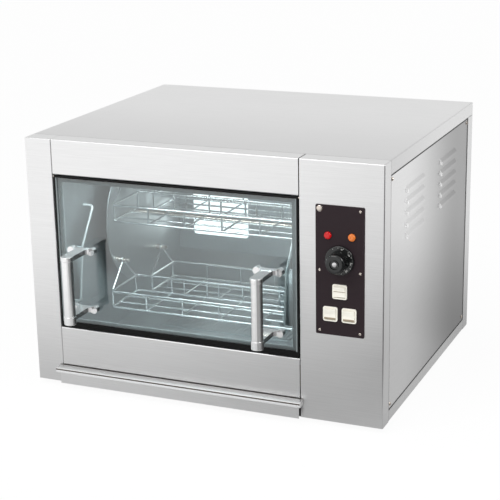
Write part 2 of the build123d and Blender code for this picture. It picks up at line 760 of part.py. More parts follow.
def lamp_housing():
    """An open box behind the rear wall, with a flange round the lamp's opening."""
    y0 = REAR_Y + LINER
    shell = lamp_opening(LAMP_FRAME, y0, y0 + LAMP_BOX_D)
    shell = fillet(shell.edges().filter_by(Axis.Y), LAMP_FRAME / 2)
    return shell - lamp_opening(LAMP_FRAME - SHEET, y0 - OVER, y0 + LAMP_BOX_D - SHEET)


def lamp_window():
    """A frosted pane over the lamp opening, on the cavity side of the rear wall."""
    pane = lamp_opening(LAMP_FRAME, REAR_Y - LAMP_GLASS_T, REAR_Y)
    pane = fillet(pane.edges().filter_by(Axis.Y), LAMP_FRAME)
    return fillet(pane.faces().sort_by(Axis.Y)[0].edges(), LAMP_GLASS_ROUND)


def lamp_bulb():
    """A short tubular bulb standing on the housing's back."""
    y1 = REAR_Y + LINER + LAMP_BOX_D - SHEET
    y0 = y1 - LAMP_BULB_L + LAMP_BULB_R
    bulb = bar_y(LAMP_X, y0, y1, LAMP_Z, LAMP_BULB_R)
    socket = bar_y(LAMP_X, y1 - LAMP_BULB_R, y1, LAMP_Z, LAMP_SOCKET_R)
    return bulb + Pos(LAMP_X, y0, LAMP_Z) * Sphere(LAMP_BULB_R) + socket


def thermostat_probe():
    """The thermostat's bulb, held along the right wall by two clips."""
    z = CEILING_Z - PROBE_DROP
    x = WALL_X1 - 2 * PROBE_R
    probe = bar_y(x, PROBE_Y, PROBE_Y + PROBE_L, z, PROBE_R)
    for y in (PROBE_Y + PROBE_CLIP_W, PROBE_Y + PROBE_L - 2 * PROBE_CLIP_W):
        probe += block(x, WALL_X1, y, y + PROBE_CLIP_W, z - PROBE_R / 2, z + PROBE_R / 2)
    return probe


def guard_rods():
    """A bent rod on each side wall, just behind the door's edge."""
    rods = []
    for wall, inward in ((WALL_X0, 1), (WALL_X1, -1)):
        x = wall + inward * GUARD_IN
        bends = [(x, *GUARD_FOOT), (x, *GUARD_KNEE), (x, *GUARD_HEAD)]
        points = [(wall, *GUARD_FOOT), *bends, (wall, *GUARD_HEAD)]
        rods.append(wire_along(points, GUARD_BEND_R, GUARD_R))
    return several(*rods)


def tray_runners():
    """Angles along the foot of each cavity wall that the drip tray slides on."""
    y1 = REAR_Y
    z0 = SHEET
    left = block(WALL_X0, WALL_X0 + RUNNER_W, CAVITY_Y0, y1, z0, z0 + RUNNER_T)
    left += block(WALL_X0, WALL_X0 + RUNNER_T, CAVITY_Y0, y1, z0, z0 + RUNNER_H)
    right = block(WALL_X1 - RUNNER_W, WALL_X1, CAVITY_Y0, y1, z0, z0 + RUNNER_T)
    right += block(WALL_X1 - RUNNER_T, WALL_X1, CAVITY_Y0, y1, z0, z0 + RUNNER_H)
    return several(left, right)


def drip_tray():
    """The pull-out tray, with its apron and the rounded lip that it is pulled by."""
    x0 = WALL_X0 + RUNNER_T + TRAY_SIDE_GAP
    x1 = WALL_X1 - RUNNER_T - TRAY_SIDE_GAP
    z0 = SHEET + RUNNER_T + TRAY_SLIDE_GAP
    z1 = TRAY_SLOT_H - TRAY_TOP_GAP
    y1 = REAR_Y - TRAY_REAR_GAP
    apron_y = -APRON_PROUD
    tray = folded(x0, x1, apron_y, y1, z0, z1, ("z1",), wall=TRAY_T)
    apron = block(BAY_X0 - APRON_SIDE, BAY_X1 + APRON_SIDE, apron_y, apron_y + APRON_T,
                  APRON_RISE, TRAY_SLOT_H - LIP_H / 2)
    lip_z1 = TRAY_SLOT_H
    lip = block(BAY_X0 - LIP_SIDE, BAY_X1 + LIP_SIDE, -LIP_PROUD, -LIP_GAP, lip_z1 - LIP_H, lip_z1)
    lip = fillet([e for e in lip.edges().filter_by(Axis.X) if e.center().Y < -LIP_GAP - OVER], LIP_ROUND)
    lip -= block(x0 + TRAY_T, x1 - TRAY_T, apron_y + APRON_T, 0, 0, z1)
    return tray + apron + lip


def door_edges():
    x0 = BAY_X0 + SEAM / 2 + DOOR_GAP
    x1 = BAY_X1 - SEAM / 2 - DOOR_GAP
    return x0, x1, DOOR_Z0 + DOOR_GAP, HINGE_Z


def glass_edges():
    x0, x1, z0, _ = door_edges()
    top = DOOR_Z1 - DOOR_GAP - TRIM_TOP
    return x0 + TRIM_SIDE, x1 - TRIM_SIDE, z0 + TRIM_BOTTOM, top


def door_trim():
    """The black edge frame, rounded about the pivot along its top."""
    x0, x1, z0, z1 = door_edges()
    gx0, gx1, gz0, gz1 = glass_edges()
    y0 = DOOR_SET_BACK
    y1 = y0 + TRIM_T
    frame = block(x0, x1, y0, y1, z0, z1) + bar_x(x0, x1, HINGE_Y, HINGE_Z, TRIM_T / 2)
    return frame - block(gx0, gx1, y0 - OVER, y1 + OVER, gz0, gz1)


def handle_screw_places(x):
    side = ARM_FOOT_W / 2
    return [(x + s * side, z) for s in (-1, 1) for z in (ARM_Z, ARM_Z + ARM_SPACING)]


def door_glass():
    gx0, gx1, gz0, gz1 = glass_edges()
    pane = block(gx0, gx1, GLASS_Y0, GLASS_Y1, gz0, gz1)
    for x in HANDLE_X:
        for sx, z in handle_screw_places(x):
            pane -= bar_y(sx, GLASS_Y0 - OVER, GLASS_Y1 + OVER, z, HANDLE_SCREW_R + SCREW_GAP)
    return pane


def door_hinge_pins():
    x0, x1, _, _ = door_edges()
    left = bar_x(x0 - HINGE_PIN_L, x0, HINGE_Y, HINGE_Z, HINGE_PIN_R)
    right = bar_x(x1, x1 + HINGE_PIN_L, HINGE_Y, HINGE_Z, HINGE_PIN_R)
    return several(left, right)


def handle_arm(x, z):
    """A flat arm that spreads to a cross foot with a round boss at each end."""
    foot_y0 = GLASS_Y0 - BOSS_L
    stem = block(x - ARM_W / 2, x + ARM_W / 2, BAR_Y, GLASS_Y0 - BOSS_L / 2,
                 z - ARM_T / 2, z + ARM_T / 2)
    foot = block(x - ARM_FOOT_W / 2, x + ARM_FOOT_W / 2, foot_y0, foot_y0 + ARM_FOOT_L,
                 z - ARM_T / 2, z + ARM_T / 2)
    arm = stem + foot
    inner = [e for e in arm.edges().filter_by(Axis.Z) if abs(e.center().Y - foot_y0) < TOUCH]
    inner = [e for e in inner if abs(abs(e.center().X - x) - ARM_W / 2) < TOUCH]
    arm = fillet(inner, ARM_FLARE_R)
    for sx, _ in handle_screw_places(x)[::2]:
        arm += bar_y(sx, foot_y0, GLASS_Y0, z, BOSS_R)
    for sx, _ in handle_screw_places(x)[::2]:
        arm -= bar_y(sx, foot_y0 + BOSS_L / 2, GLASS_Y0 + OVER, z, HANDLE_SCREW_R + SCREW_GAP)
    return arm


def handle(x):
    """A chrome pull: an upright bar between two flat arms, with a ferrule at its foot."""
    low = ARM_Z - ARM_T / 2 - BAR_UNDER
    top = ARM_Z + ARM_SPACING + ARM_T / 2
    pull = bar_z(x, BAR_Y, low, top - ARM_T / 2, BAR_R)
    for z0, z1 in ((low, low + FERRULE_H), (top - ARM_T, top)):
        collar = bar_z(x, BAR_Y, z0, z1, FERRULE_R)
        pull += fillet(collar.edges().filter_by(GeomType.CIRCLE), FERRULE_ROUND)
    return pull + handle_arm(x, ARM_Z) + handle_arm(x, ARM_Z + ARM_SPACING)


def handle_screws():
    screws = []
    for x in HANDLE_X:
        for sx, z in handle_screw_places(x):
            shank = bar_y(sx, GLASS_Y0 - BOSS_L / 2, GLASS_Y1, z, HANDLE_SCREW_R)
            head = bar_y(sx, GLASS_Y1, GLASS_Y1 + HANDLE_SCREW_HEAD_H, z, HANDLE_SCREW_HEAD_R)
            screws.append(shank + head)
    return several(*screws)


def pin_place(number):
    """A basket pin's (y, z) on the discs, at rest."""
    angle = radians(REST_ANGLE + number * 360 / BASKET_COUNT)
    return ROTOR_Y + PIN_CIRCLE_R * cos(angle), ROTOR_Z + PIN_CIRCLE_R * sin(angle)


def rotor_shaft():
    x0 = WALL_X0 - LINER - BEARING_L
    x1 = BRACKET_X + BRACKET_T + GEARBOX_BORE_L - SHAFT_END_GAP
    return bar_x(x0, x1, ROTOR_Y, ROTOR_Z, SHAFT_R)


def rotor_disc(face_x, inward):
    """An end disc with its hub and a ring of lightening holes."""
    d0, d1 = sorted((face_x, face_x - inward * DISC_T))
    h0, h1 = sorted((face_x, face_x - inward * DISC_HUB_L))
    disc = bar_x(d0, d1, ROTOR_Y, ROTOR_Z, DISC_R) + bar_x(h0, h1, ROTOR_Y, ROTOR_Z, DISC_HUB_R)
    disc -= bar_x(h0 - OVER, h1 + OVER, ROTOR_Y, ROTOR_Z, SHAFT_R + SHAFT_KEY_GAP)
    for number in range(BASKET_COUNT):
        y, z = pin_place(number)
        disc -= bar_x(d0 - OVER, d1 + OVER, y, z, PIN_R + SHAFT_KEY_GAP)
    return disc


def basket_pins():
    """Stub pins on the discs that the baskets hang from, each with a shoulder on the disc."""
    pins = []
    for number in range(BASKET_COUNT):
        y, z = pin_place(number)
        for face_x, inward in ((DISC_X0, 1), (DISC_X1, -1)):
            p0, p1 = sorted((face_x - inward * DISC_T, face_x + inward * PIN_REACH))
            s0, s1 = sorted((face_x, face_x + inward * (BASKET_END_GAP - EYE_T)))
            pins.append(bar_x(p0, p1, y, z, PIN_R) + bar_x(s0, s1, y, z, PIN_SHOULDER_R))
    return several(*pins)


def basket():
    """A wire basket hanging level, drawn with its pivot on the x axis."""
    x0, x1 = BASKET_X0, BASKET_X1
    y0, y1 = -BASKET_W / 2, BASKET_W / 2
    rim_z = -BASKET_HANG
    floor_z = rim_z - BASKET_H

    def loop(z):
        outline = RectangleRounded(x1 - x0, y1 - y0, BASKET_CORNER_R)
        path = (Pos((x0 + x1) / 2, 0, z) * outline).wire()
        return sweep(Plane(origin=path @ 0, z_dir=path % 0) * Circle(RIM_WIRE_R), path=path)

    wires = loop(rim_z) + loop(floor_z)
    pitch = (x1 - x0) / BASKET_BAYS
    for post in range(1, BASKET_BAYS):
        x = x0 + post * pitch
        wires += bar_z(x, y0, floor_z, rim_z, GRID_WIRE_R)
        wires += bar_z(x, y1, floor_z, rim_z, GRID_WIRE_R)
        wires += bar_y(x, y0, y1, floor_z, GRID_WIRE_R)
    for run in range(1, BASKET_LONG_WIRES + 1):
        y = y0 + run * BASKET_W / (BASKET_LONG_WIRES + 1)
        wires += bar_x(x0, x1, y, floor_z - GRID_WIRE_R, FLOOR_WIRE_R)
    inset = BASKET_CORNER_R
    for x in (x0, x1):
        for y in (y0 + inset, y1 - inset):
            wires += bar_between((x, y, rim_z), (x, 0, 0), GRID_WIRE_R)
            wires += bar_z(x, y, floor_z, rim_z, GRID_WIRE_R)
        wires += bar_x(x - EYE_T / 2, x + EYE_T / 2, 0, 0, EYE_R)
    return wires - bar_x(x0 - EYE_T, x1 + EYE_T, 0, 0, PIN_R + RUN_GAP)


def control_cutouts():
    """What passes through the control plate and the pillar behind it."""
    y0, y1 = -PLATE_T - OVER, SHEET + OVER
    cut = bar_y(PLATE_X, y0, y1, PLATE_Z + KNOB_UP, THERMO_BUSH_R + CUT_GAP)
    for side in (-1, 1):
        cut += bar_y(PLATE_X + side * PILOT_OUT, y0, y1, PLATE_Z + PILOT_UP, PILOT_BODY_R + CUT_GAP)
    half = SWITCH_BODY_W / 2 + CUT_GAP
    for dx, dz in SWITCH_PLACES:
        x, z = PLATE_X + dx, PLATE_Z + dz
        cut += block(x - half, x + half, y0, y1, z - half, z + half)
    for x, z in plate_screw_places():
        cut += bar_y(x, y0, y1, z, PLATE_SCREW_R + SCREW_GAP)
    return cut


def plate_screw_places():
    half_w = PLATE_W / 2 - PLATE_SCREW_INSET
    half_h = PLATE_H / 2 - PLATE_SCREW_INSET
    middle = PLATE_Z + PLATE_H / 2
    return [(PLATE_X + i * half_w, middle + j * half_h) for i in (-1, 1) for j in (-1, 0, 1)]


def control_plate():
    plate = block(PLATE_X0, PLATE_X0 + PLATE_W, -PLATE_T, 0, PLATE_Z, PLATE_Z + PLATE_H)
    plate = fillet(plate.edges().filter_by(Axis.Y), PLATE_CORNER_R)
    return plate - control_cutouts()


def control_plate_screws():
    screws = []
    for x, z in plate_screw_places():
        head = bar_y(x, -PLATE_T - PLATE_SCREW_HEAD_H, -PLATE_T, z, PLATE_SCREW_HEAD_R)
        head = fillet(head.faces().sort_by(Axis.Y)[0].edges(), PLATE_SCREW_HEAD_H * HEAD_ROUND_SHARE)
        screws.append(head + bar_y(x, -PLATE_T, PLATE_SCREW_L - PLATE_T, z, PLATE_SCREW_R))
    return several(*screws)


def thermostat_body():
    """The thermostat behind the pillar, with the bush that its spindle turns in."""
    z = PLATE_Z + KNOB_UP
    body = block(PLATE_X - THERMO_W / 2, PLATE_X + THERMO_W / 2, SHEET, SHEET + THERMO_D,
                 z - THERMO_H / 2, z + THERMO_H / 2)
    body += bar_y(PLATE_X, -PLATE_T, SHEET, z, THERMO_BUSH_R)
    return body - bar_y(PLATE_X, -PLATE_T - OVER, SPINDLE_L, z, SPINDLE_R + RUN_GAP)


def thermostat_knob():
    """A smooth tapered knob on a round skirt, with a cap sunk in its tip and its spindle."""
    z = PLATE_Z + KNOB_UP
    back = -PLATE_T - KNOB_GAP
    skirt_y = back - KNOB_SKIRT_T
    tip_y = skirt_y - KNOB_GRIP_H
    skirt = bar_y(PLATE_X, skirt_y, back, z, KNOB_SKIRT_R)
    skirt = fillet(skirt.faces().sort_by(Axis.Y)[0].edges(), KNOB_SKIRT_ROUND)
    middle = Pos(PLATE_X, (tip_y + skirt_y) / 2, z) * Rot(90, 0, 0)
    grip = middle * Cone(KNOB_GRIP_R, KNOB_TIP_R, KNOB_GRIP_H)
    grip = fillet(grip.faces().sort_by(Axis.Y)[0].edges(), KNOB_TIP_ROUND)
    floor_y = tip_y + KNOB_DISH_D
    grip -= bar_y(PLATE_X, tip_y - OVER, floor_y, z, KNOB_DISH_R)
    cap = bar_y(PLATE_X, floor_y - KNOB_CAP_H, floor_y, z, KNOB_CAP_R)
    spindle = bar_y(PLATE_X, back, SPINDLE_L - SPINDLE_END_GAP, z, SPINDLE_R)
    return skirt + grip + cap + spindle


def pilot_lamp(side):
    """A domed lens on the plate, with its body behind."""
    x, z = PLATE_X + side * PILOT_OUT, PLATE_Z + PILOT_UP
    lens = bar_y(x, -PLATE_T - PILOT_LENS_H, -PLATE_T, z, PILOT_R)
    lens = fillet(lens.faces().sort_by(Axis.Y)[0].edges(), PILOT_LENS_ROUND)
    return lens + bar_y(x, -PLATE_T, PILOT_BODY_L, z, PILOT_BODY_R)


def rocker_axis(place):
    """A rocker's pivot as (x, y, z)."""
    dx, dz = place
    return PLATE_X + dx, -PLATE_T - SWITCH_RIM_T + ROCKER_AXIS_IN, PLATE_Z + dz


def switch_bodies():
    """Three switch housings with square rims, each with a pocket for its rocker."""
    bodies = []
    pocket = ROCKER_W / 2 + ROCKER_GAP
    for place in SWITCH_PLACES:
        x, axis_y, z = rocker_axis(place)
        rim_y = -PLATE_T - SWITCH_RIM_T
        half = SWITCH_W / 2
        rim = block(x - half, x + half, rim_y, -PLATE_T, z - half, z + half)
        rim = fillet(rim.edges().filter_by(Axis.Y), SWITCH_CORNER_R)
        rim = fillet(rim.faces().sort_by(Axis.Y)[0].edges(), SWITCH_RIM_ROUND)
        inner = SWITCH_BODY_W / 2
        body = rim + block(x - inner, x + inner, -PLATE_T, SWITCH_BODY_D, z - inner, z + inner)
        body -= block(x - pocket, x + pocket, rim_y - OVER, rim_y + SWITCH_POCKET_D,
                      z - pocket, z + pocket)
        reach = ROCKER_W / 2 + ROCKER_PIN_L + SCREW_GAP
        bodies.append(body - bar_x(x - reach, x + reach, axis_y, z, ROCKER_PIN_R + RUN_GAP))
    return several(*bodies)


def rocker(place):
    """A dished rocker that rests with its lower half pressed in."""
    x, axis_y, z = rocker_axis(place)
    half = ROCKER_W / 2
    t = ROCKER_HALF_T
    foot = ROCKER_FOOT_GAP - half
    section = [(-t, foot), (-t + ROCKER_DISH, 0), (-t, half), (t, half), (t, foot)]
    key = prism_x([(axis_y + y, z + up) for y, up in section], x - half, x + half)
    reach = half + ROCKER_PIN_L
    key += bar_x(x - reach, x + reach, axis_y, z, ROCKER_PIN_R)
    return key.rotate(Axis((x, axis_y, z), (1, 0, 0)), ROCKER_TILT)


def terminal_block():
    """A row of screw terminals on the base pan, beside the mains inlet."""
    y0 = CASE_D - REAR_RETURN - TERMINAL_W
    x0 = GLAND_X - TERMINAL_L / 2
    body = block(x0, x0 + TERMINAL_L, y0, y0 + TERMINAL_W, SHEET, SHEET + TERMINAL_H)
    body -= block(x0 - OVER, x0 + TERMINAL_L + OVER, y0 - OVER, y0 + TERMINAL_STEP,
                  SHEET + TERMINAL_H - TERMINAL_STEP, SHEET + TERMINAL_H + OVER)
    for way in range(TERMINAL_WAYS):
        x = x0 + (way + 0.5) * TERMINAL_L / TERMINAL_WAYS
        body -= bar_z(x, y0 + TERMINAL_SCREW_IN, SHEET + TERMINAL_H / 2, SHEET + TERMINAL_H + OVER,
                      TERMINAL_SCREW_R)
    return body


def cable_gland():
    """The mains inlet: a flanged bush through the rear panel."""
    gland = bar_y(GLAND_X, CASE_D - SHEET - GLAND_INNER_L, CASE_D + GLAND_REACH, GLAND_Z, GLAND_R)
    gland = fillet(gland.faces().sort_by(Axis.Y)[-1].edges(), GLAND_ROUND)
    gland += bar_y(GLAND_X, CASE_D, CASE_D + GLAND_FLANGE_T, GLAND_Z, GLAND_FLANGE_R)
    return gland - bar_y(GLAND_X, 0, FAR, GLAND_Z, GLAND_BORE_R)


def nodes():
    """Every piece of the oven under the name of its node."""
    made = dict(
        base_pan=base_pan(), feet=feet(), left_pillar=left_pillar(), control_pillar=control_pillar(),
        upper_front_panel=upper_front_panel(), lower_front_panel=lower_front_panel(),
        top_cover=top_cover(), left_side_panel=side_panel(-1), right_side_panel=side_panel(1),
        rear_panel=rear_panel(), corner_posts=corner_posts(), side_screws=side_screws(),
        cavity_left_wall=cavity_side_wall(WALL_X0 - LINER),
        cavity_right_wall=cavity_side_wall(WALL_X1),
        cavity_ceiling=cavity_ceiling(), cavity_rear_wall=cavity_rear_wall(),
        cavity_floor=cavity_floor(), cavity_front_frame=cavity_front_frame(),
        door_gasket=door_gasket(), door_hinge_blocks=door_hinge_blocks(), insulation=insulation(),
        left_shaft_bearing=shaft_bearing(WALL_X0 - LINER, -1),
        right_shaft_bearing=shaft_bearing(WALL_X1 + LINER, 1),
        motor_bracket=motor_bracket(), gear_motor=gear_motor(),
        upper_heater=upper_heater(), rear_heater=rear_heater(),
        lamp_housing=lamp_housing(), lamp_bulb=lamp_bulb(), lamp_window=lamp_window(),
        thermostat_probe=thermostat_probe(), guard_rods=guard_rods(), tray_runners=tray_runners(),
        control_plate=control_plate(), control_plate_screws=control_plate_screws(),
        thermostat_body=thermostat_body(), switch_bodies=switch_bodies(),
        red_pilot_lamp=pilot_lamp(-1), amber_pilot_lamp=pilot_lamp(1),
        terminal_block=terminal_block(), cable_gland=cable_gland(),
        door_glass=door_glass(), door_trim=door_trim(), door_hinge_pins=door_hinge_pins(),
        left_handle=handle(HANDLE_X[0]), right_handle=handle(HANDLE_X[1]),
        handle_screws=handle_screws(), drip_tray=drip_tray(),
        rotor_shaft=rotor_shaft(), left_disc=rotor_disc(DISC_X0, 1), right_disc=rotor_disc(DISC_X1, -1),
        basket_pins=basket_pins(), thermostat_knob=thermostat_knob(),
    )
    wires = basket()
    for number in range(BASKET_COUNT):
        made[f"basket_{number + 1}"] = Pos(0, *pin_place(number)) * wires
    for name, place in zip(SWITCH_NAMES, SWITCH_PLACES):
        made[name] = rocker(place)
    return made


os.makedirs("parts", exist_ok=True)
for name, shape in nodes().items():
    export_step(PLACE * shape, f"parts/{name}.step")
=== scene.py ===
"""A countertop rotisserie oven: finishes, fine pieces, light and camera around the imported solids."""
import json
import math

import bmesh
import bpy
from mathutils import Matrix, Vector


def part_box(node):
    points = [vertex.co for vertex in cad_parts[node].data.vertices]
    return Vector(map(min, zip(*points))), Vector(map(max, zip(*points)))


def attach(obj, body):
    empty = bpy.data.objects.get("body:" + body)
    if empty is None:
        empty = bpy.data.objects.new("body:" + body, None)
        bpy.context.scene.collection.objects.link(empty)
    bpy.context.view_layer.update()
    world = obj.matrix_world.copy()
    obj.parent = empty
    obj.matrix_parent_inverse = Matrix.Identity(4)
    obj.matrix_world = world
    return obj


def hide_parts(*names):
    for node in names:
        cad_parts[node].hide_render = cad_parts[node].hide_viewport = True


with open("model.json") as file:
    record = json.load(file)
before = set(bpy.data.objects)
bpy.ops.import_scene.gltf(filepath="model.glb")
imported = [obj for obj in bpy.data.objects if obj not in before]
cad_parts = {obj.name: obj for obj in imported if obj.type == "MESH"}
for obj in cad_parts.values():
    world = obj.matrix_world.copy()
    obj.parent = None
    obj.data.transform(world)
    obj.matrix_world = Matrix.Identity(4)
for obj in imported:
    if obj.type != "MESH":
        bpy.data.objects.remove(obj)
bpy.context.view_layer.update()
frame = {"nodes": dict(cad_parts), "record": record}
MM = 0.001
FRONT = (0, -1, 0)

# Camera, fitted to the corners of the casing in the photograph, in metres and radians
CAMERA_PLACE = Vector((1.17378, -2.76463, 1.16053))
CAMERA_TURN = 0.405786
CAMERA_TILT = 0.291891
CAMERA_ROLL = -0.018616
SENSOR = 36.0  # millimetres, as is the lens
LENS = 101.06

# Lights: levels, places and sizes in metres, and the sun's spread in degrees
SKY = 0.50
SUN = 1.15
SUN_SPREAD = 60.0
SUN_PLACE = (0, 0, 3)
SUN_FROM = (-0.35, -0.45, 1.0)
FRONT_SOFTBOX = {"power": 9.0, "place": (-0.5, -1.5, 1.7), "target": (-0.1, -0.3, 0.5), "size": (1.4, 0.8)}
SIDE_SOFTBOX = {"power": 8.0, "place": (1.6, -0.7, 1.3), "target": (0.4, -0.1, 0.45), "size": (0.7, 0.7)}
CAVITY_LIGHT = 1.5
CAVITY_LIGHT_SIZE = (0.4, 0.05)
CAVITY_LIGHT_IN = 0.05
CAVITY_LIGHT_DROP = 0.012
CAVITY_LIGHT_AIM_Z = 0.1

# The greys that only glossy rays see: a card to the right, the backdrop behind, the sky, and painted shade
# on the floor near the oven
CARD_SIDE = (0.891, -0.454, 0.0)
CARD_EDGE = (0.66, 0.81)
CARD_TONE = 0.08
CARD_REACH = (0.6, 0.8)
BACK_SIDE = (0.42, 0.908, 0.0)
BACK_EDGE = (0.75, 0.95)
BACK_TONE = 0.78
SKY_RISE = (0.0, 0.45)
SKY_TONE = 0.66
# Painted shade on the floor near the oven, which only the metal's reflections show
NEAR_SHADE_REACH = (0.4, 1.75)
NEAR_SHADE_TONE = 0.46
RIGHT_DEPTH = (-0.1, -0.5)
RIGHT_REACH = (-0.3, 0.25)
RIGHT_TONE = 0.66

# The floor: its radius in metres, how white it shows, and its mottle in millimetres
FLOOR_RADIUS = 14.0
FLOOR_SIDES = 96
FLOOR_WHITE = 0.94
FLOOR_DARK = (0.94, 0.94, 0.94)
FLOOR_LIGHT = (0.96, 0.96, 0.96)
FLOOR_MOTTLE = 400

# Marks in the finishes: the middle of the noise's range, sizes and depths in millimetres, and shares of
# the colour or the roughness
NOISE_MIDDLE = (0.3, 0.7)
BRUSH_GRAIN = 0.7
BRUSH_STRETCH = {"x": (90, 1, 1), "y": (1, 90, 1), "z": (1, 1, 90)}
BRUSH_DEPTH = 0.002
BRUSH_TONES = (0.96, 1.03)
HANDLING_MARK = 70
HANDLING_ROUGH = (0.97, 1.04)
WIPE_MARK = 9
WIPE_TONES = (0.97, 1.02)
WIPE_ROUGH = (0.8, 1.3)
SKIN_CLOUD = 16
SKIN_GRAIN = 0.4
SKIN_ROUGH = (0.85, 1.2)
TRIM_DEPTH = 0.005
TRIM_CONTRAST = 0.1
LENS_RIB = 2.5
LENS_RIB_DEPTH = 0.05
LENS_DARK = 0.75
HAZE_CLOUD = 120
HAZE_DARK = 0.97
FROST_CLOUD = 14
FROST_GRAIN = 0.6
FROST_DEPTH = 0.02
FROST_DARK = 0.94

# How finishes change over one piece, after the photo's light, much of it painted shade or highlight: places
# in metres along the depth, turns as one part of the surface normal, shares of the colour, metal or
# roughness, and a strip in millimetres
# Painted shade on the side panels towards the rear, and the turn of the louvres' front ends that are left
# satin as a painted highlight
SIDE_SHADE_REACH = (-0.184, 0.25)
SIDE_SHADE_TONE = 0.43
SCOOP_HIGHLIGHT_TURN = (-0.4, -0.05)
# Painted shade on the top cover towards the front
TOP_SHADE_REACH = (0.2, -0.34)
TOP_SHADE_TONE = 0.86
# Painted shade on the tray's upward faces
UPWARD_SHADE_TURN = (0.2, 0.8)
UPWARD_SHADE_TONE = 0.58
LIP_START = (-0.3165, -0.3135)
LIP_METAL = 0.6
LIP_SOFT = 1.6
# Painted dark reflection on the polished faces that look to the right
POLISH_METAL = 0.74
POLISH_TURN = (0.72, 0.95)
POLISH_SHADE_TONE = 0.16
PALE_EDGE = 2.4
PALE_BLUR = 0.4

# Fine pieces, with lengths in millimetres. The dial and the knob's cap, with turns in degrees:
DIAL_NUMBERS = (50, 100, 150, 200, 250, 300)
DIAL_START = 240.0
DIAL_SWEEP = 300.0
DIAL_TICKS = 13
DIAL_TEXT_H = 3.8
DIAL_RADIUS = 25.2
TEXT_INSET = 1.2
TEXT_BOLD = 0.12
TICK_LENGTH = 1.8
TICK_W = 1.0
PRINT_T = 0.06
SKIRT_T = 4.0
KNOB_GAP = 1.0
CAP_SINK = 0.8
CAP_PROFILE = [(0, 0.6), (2, 0.5), (3.6, 0.3), (4.7, 0.06), (5.3, -0.3), (5.3, -0.9)]
TURNED_STEPS = 64

# The drain strainer
DRAIN_L = 316.0
DRAIN_W = 104.0
DRAIN_Z = 76.0
DRAIN_T = 2.0
DRAIN_BAR = 8.2
DRAIN_BARS = 33

# The painted shadow lines in the joints of the side panels and the tray, and along the tray's hem
SHEET = 1.2
PANEL_TUCK = 10.0
SEAM_TOP = 4.0
SEAM_FRONT = 4.5
SEAM_REAR = 2.4
SEAM_BASE = 2.2
SEAM_T = 0.3
TRAY_SEAM = 1.2
HEM_DROP = 2.8
HEM_H = 2.6
HEM_DEPTH = 0.7

# The guard plates: places as (depth, height), and the hem as (across, behind)
GUARD_IN = 23.0
GUARD_FOOT = (-278.0, 194.0)
GUARD_KNEE = (-260.0, 310.0)
GUARD_HEM = [(-23, 3.2), (-4, 3.2), (-1.5, 3.0), (0.8, 2.7), (2.4, 1.7), (3.1, 0.2)]
GUARD_PLATE_T = 0.6

# The painted shadows on the rockers
ROCKER_FOOT_H = 3.4
ROCKER_LINE_H = 1.6
ROCKER_SHADOW_PROUD = 0.5
ROCKER_MARGIN = 0.8
PILL_STEPS = 8
PILL_FACE = 0.7

# The screw heads and the cup washer, with the first turn in radians and the recess as shares of the head
HEAD_H = {"plate": 1.4, "side": 2.2}
HEAD_RINGS = 14
HEAD_STEPS = 56
HEAD_DOME_POWER = 3
FIRST_TURN = 0.4
CROSS_SHARE = 0.62
CROSS_W_SHARE = 0.2
CROSS_DEPTH_SHARE = 0.6
SCREW_APART = 8.0
WASHER_PROFILE = [(0, 1.5), (3, 1.5), (5, 1.0), (6.4, 0.3), (6.6, 0.0)]


def worked_out(nodes, links, operation, *sources):
    """A Math node over sockets and numbers."""
    node = nodes.new("ShaderNodeMath")
    node.operation = operation
    for socket, source in zip(node.inputs, sources):
        if isinstance(source, (int, float)):
            socket.default_value = source
        else:
            links.new(source, socket)
    return node.outputs["Value"]


def eased(nodes, links, source, reach, low, high):
    """A smooth step of the source from low at the start of its reach to high at the end."""
    node = nodes.new("ShaderNodeMapRange")
    node.interpolation_type = "SMOOTHSTEP"
    for socket, value in zip(("From Min", "From Max", "To Min", "To Max"), (*reach, low, high)):
        node.inputs[socket].default_value = value
    links.new(source, node.inputs["Value"])
    return node.outputs["Result"]


